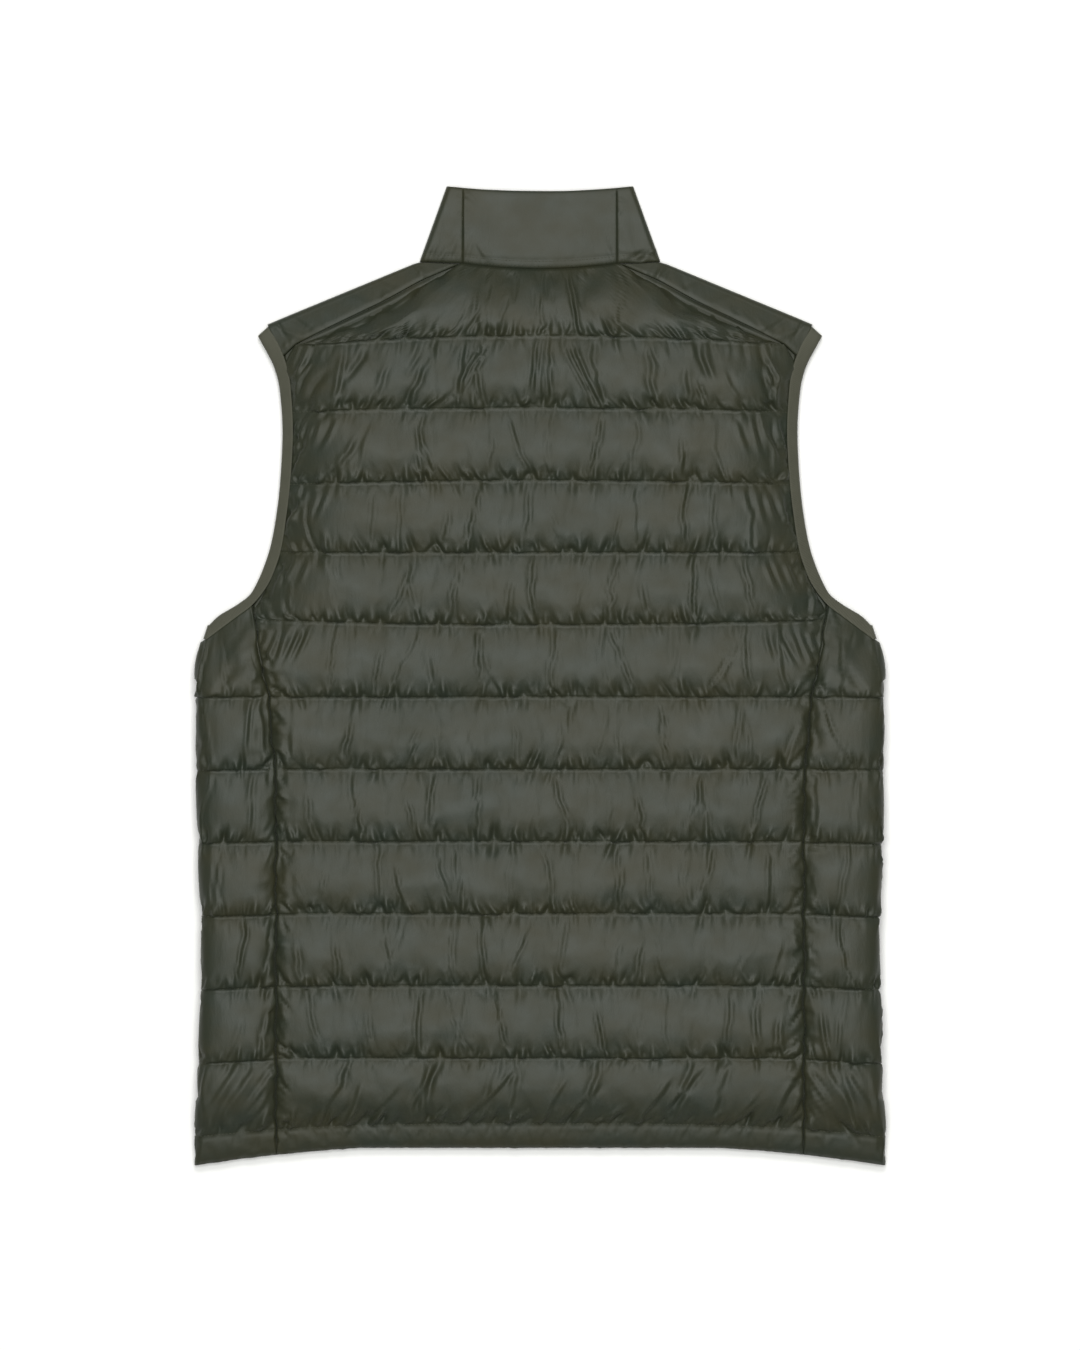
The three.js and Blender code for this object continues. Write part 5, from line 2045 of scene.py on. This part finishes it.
@dataclass(frozen=True)
class CoatedMetal:
    """Zip metal or moulded teeth under dark enamel, rubbed paler in small random patches."""

    name: str = "zip_enamel"
    colour: tuple = (46, 47, 40)
    metallic: float = 0.55
    roughness: float = 0.38

    def material(self) -> bpy.types.Material:
        """Makes the material."""
        shader = Shader(self.name)
        rubbed = shader.noise(700, 4)
        grain = shader.noise(2600, 2, (1, 0.3, 1))
        surface = shader.surface.inputs
        shader.feed(surface["Base Color"], shader.blend(rubbed * 0.4, rgba(self.colour), rgba((78, 78, 70))))
        shader.feed(surface["Roughness"], self.roughness + (rubbed - 0.5) * 0.2)
        surface["Metallic"].default_value = self.metallic
        shader.bump(rubbed * 0.5 + grain * 0.5, 0.00004)
        return shader.material


@dataclass
class Studio:
    """Pale floor, soft light and the camera straight above."""

    frame_height: float = 1.0971
    camera_height: float = 6.0
    sensor: float = 36.0
    surface_z: float = 0.02

    def build(self) -> None:
        """Makes the floor, the lights and the camera."""
        self.floor()
        bpy.context.scene.view_settings.view_transform = "Standard"
        world = bpy.data.worlds.new("studio")
        bpy.context.scene.world = world
        world.use_nodes = True
        background = world.node_tree.nodes["Background"]
        background.inputs["Color"].default_value = (0.97, 0.99, 0.95, 1)
        background.inputs["Strength"].default_value = 0.22
        self.area("key", (0.0, 2.1, 3.2), (1.6, 1.0), 46.0, (1.0, 0.99, 0.95))
        self.area("overhead", (0.0, 0.2, 3.8), (2.0, 1.8), 98.0, (0.98, 1.0, 0.95))
        self.area("fill", (0.0, -2.4, 3.2), (2.0, 1.0), 15.0, (0.99, 1.0, 0.96))
        self.camera()

    def floor(self) -> None:
        """A plain pale floor."""
        bpy.ops.object.select_all(action="DESELECT")
        bpy.ops.mesh.primitive_plane_add(size=14, location=(0, 0, -0.0004))
        floor = bpy.context.active_object
        floor.name = "floor"
        shader = Shader("pale_floor")
        shader.surface.inputs["Base Color"].default_value = (0.97, 0.96, 0.98, 1)
        shader.surface.inputs["Roughness"].default_value = 0.9
        floor.data.materials.append(shader.material)

    def area(self, name: str, place: tuple, size: tuple, power: float, colour: tuple) -> None:
        """A soft rectangular light that faces the vest."""
        data = bpy.data.lights.new(name, "AREA")
        data.shape = "RECTANGLE"
        data.size, data.size_y = size
        data.energy = power
        data.color = colour
        light = bpy.data.objects.new(name, data)
        light.location = place
        light.rotation_euler = (Vector((0, 0, 0)) - Vector(place)).to_track_quat("-Z", "Y").to_euler()
        bpy.context.scene.collection.objects.link(light)

    def camera(self) -> None:
        """A long lens straight above the middle of the vest."""
        data = bpy.data.cameras.new("camera")
        data.sensor_width = self.sensor
        data.lens = self.sensor * self.camera_height / self.frame_height
        camera = bpy.data.objects.new("camera", data)
        camera.location = (0, 0, self.surface_z + self.camera_height)
        bpy.context.scene.collection.objects.link(camera)
        bpy.context.scene.camera = camera


@dataclass
class Vest:
    """The whole vest: it builds every piece and sews them together."""

    pattern: Pattern
    simulate: bool

    def build(self) -> None:
        """Builds and dresses all the pieces."""
        nylon = Nylon().material()
        knit = Knit().material()
        thread = Thread().material()
        tape_finish = WovenTape().material()
        metal = CoatedMetal().material()
        panels = self.panels()
        smooth = self.smooth_pieces()
        for panel in panels:
            panel.shape(Inflation(), self.simulate)
            piece = panel.dress(nylon)
            if isinstance(panel, BackPanel):
                rows, columns = panel.cloth.outer.shape[:2]
                thin_lining(piece, rows, columns, 0.67)
            LOG.info("%s: %d faces", piece.name, len(piece.data.polygons))
        for cloth in smooth:
            cloth.shape()
            cloth.dress({"binding_knit": knit, "zip_tape": tape_finish}.get(cloth.slot, nylon))
        self.sew(panels, smooth, thread)
        tape = smooth[-1]
        ZipChain(tape).dress(metal)
        slider = Slider(self.pattern)
        slider.build(tape, metal)
        PullTab(slider.y, slider.pivot_z(tape)).build(metal)

    def panels(self) -> list[QuiltedPanel]:
        """The five quilted panels, not yet filled."""
        p = self.pattern
        back_rows = Channels(p, 0, "neck", 24, 7, 0.3)
        side_rows = Channels(p, p.side_rows_from, "underarm", 20, 7)
        front_rows = Channels(p, 1, "front", 14, 5)
        panels = [BackPanel(p, Side.RIGHT, "back_panel", back_rows, Puckers(7))]
        for side in Side:
            seed = 20 + side.value
            panels.append(SidePanel(p, side, f"side_panel_{side.word}", side_rows, Puckers(seed)))
            panels.append(FrontPanel(p, side, f"front_panel_{side.word}", front_rows, Puckers(seed + 10, teeth_pitch=8.0)))
        return panels

    def smooth_pieces(self) -> list[SmoothPiece]:
        """The pieces with no quilting, with the tapes of the zip last."""
        p = self.pattern
        pieces = [CollarBack(p, Side.RIGHT, "collar_back", (0.125, 0.062), 0.0077, ("collar_side_right", "collar_side_left"))]
        for side in Side:
            word = side.word
            pieces.append(CollarSide(p, side, f"collar_side_{word}", (0.155, 0.07), 0.0079, (f"shoulder_yoke_{word}",)))
            pieces.append(ShoulderYoke(p, side, f"shoulder_yoke_{word}", (0.16, 0.062), 0.0068, ("floor",)))
            pieces.append(ArmholeBinding(p, side, f"armhole_binding_{word}", (0.54, 0.01), 0.0049, ("floor",), "binding_knit"))
        for side in reversed(Side):
            pieces.append(ZipTape(p, side, f"zip_{side.word}", (0.0135, 0.699), 0.0091, (f"front_panel_{side.word}",), "zip_tape"))
        return pieces

    def sew(self, panels: list[QuiltedPanel], smooth: list[SmoothPiece], thread: bpy.types.Material) -> None:
        """Sews the stitch rows of the panels and the topstitching of the seams."""
        quilting = Stitching("quilting_thread")
        for panel in panels:
            up = -1.0 if isinstance(panel, FrontPanel) else 1.0
            for line in panel.stitch_lines:
                quilting.sew(line, up)
        for cloth in smooth:
            if isinstance(cloth, (CollarBack, CollarSide)):
                for row in cloth.foot_rows:
                    quilting.sew(cloth.cloth.outer[row, cloth.sewn_columns])
        quilting.dress(thread)


def main() -> None:
    """Builds the whole scene."""
    logging.basicConfig(level=logging.INFO, format="%(message)s")
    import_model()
    Studio().build()
    Vest(Pattern(), simulate=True).build()


if __name__ == "__main__":
    main()
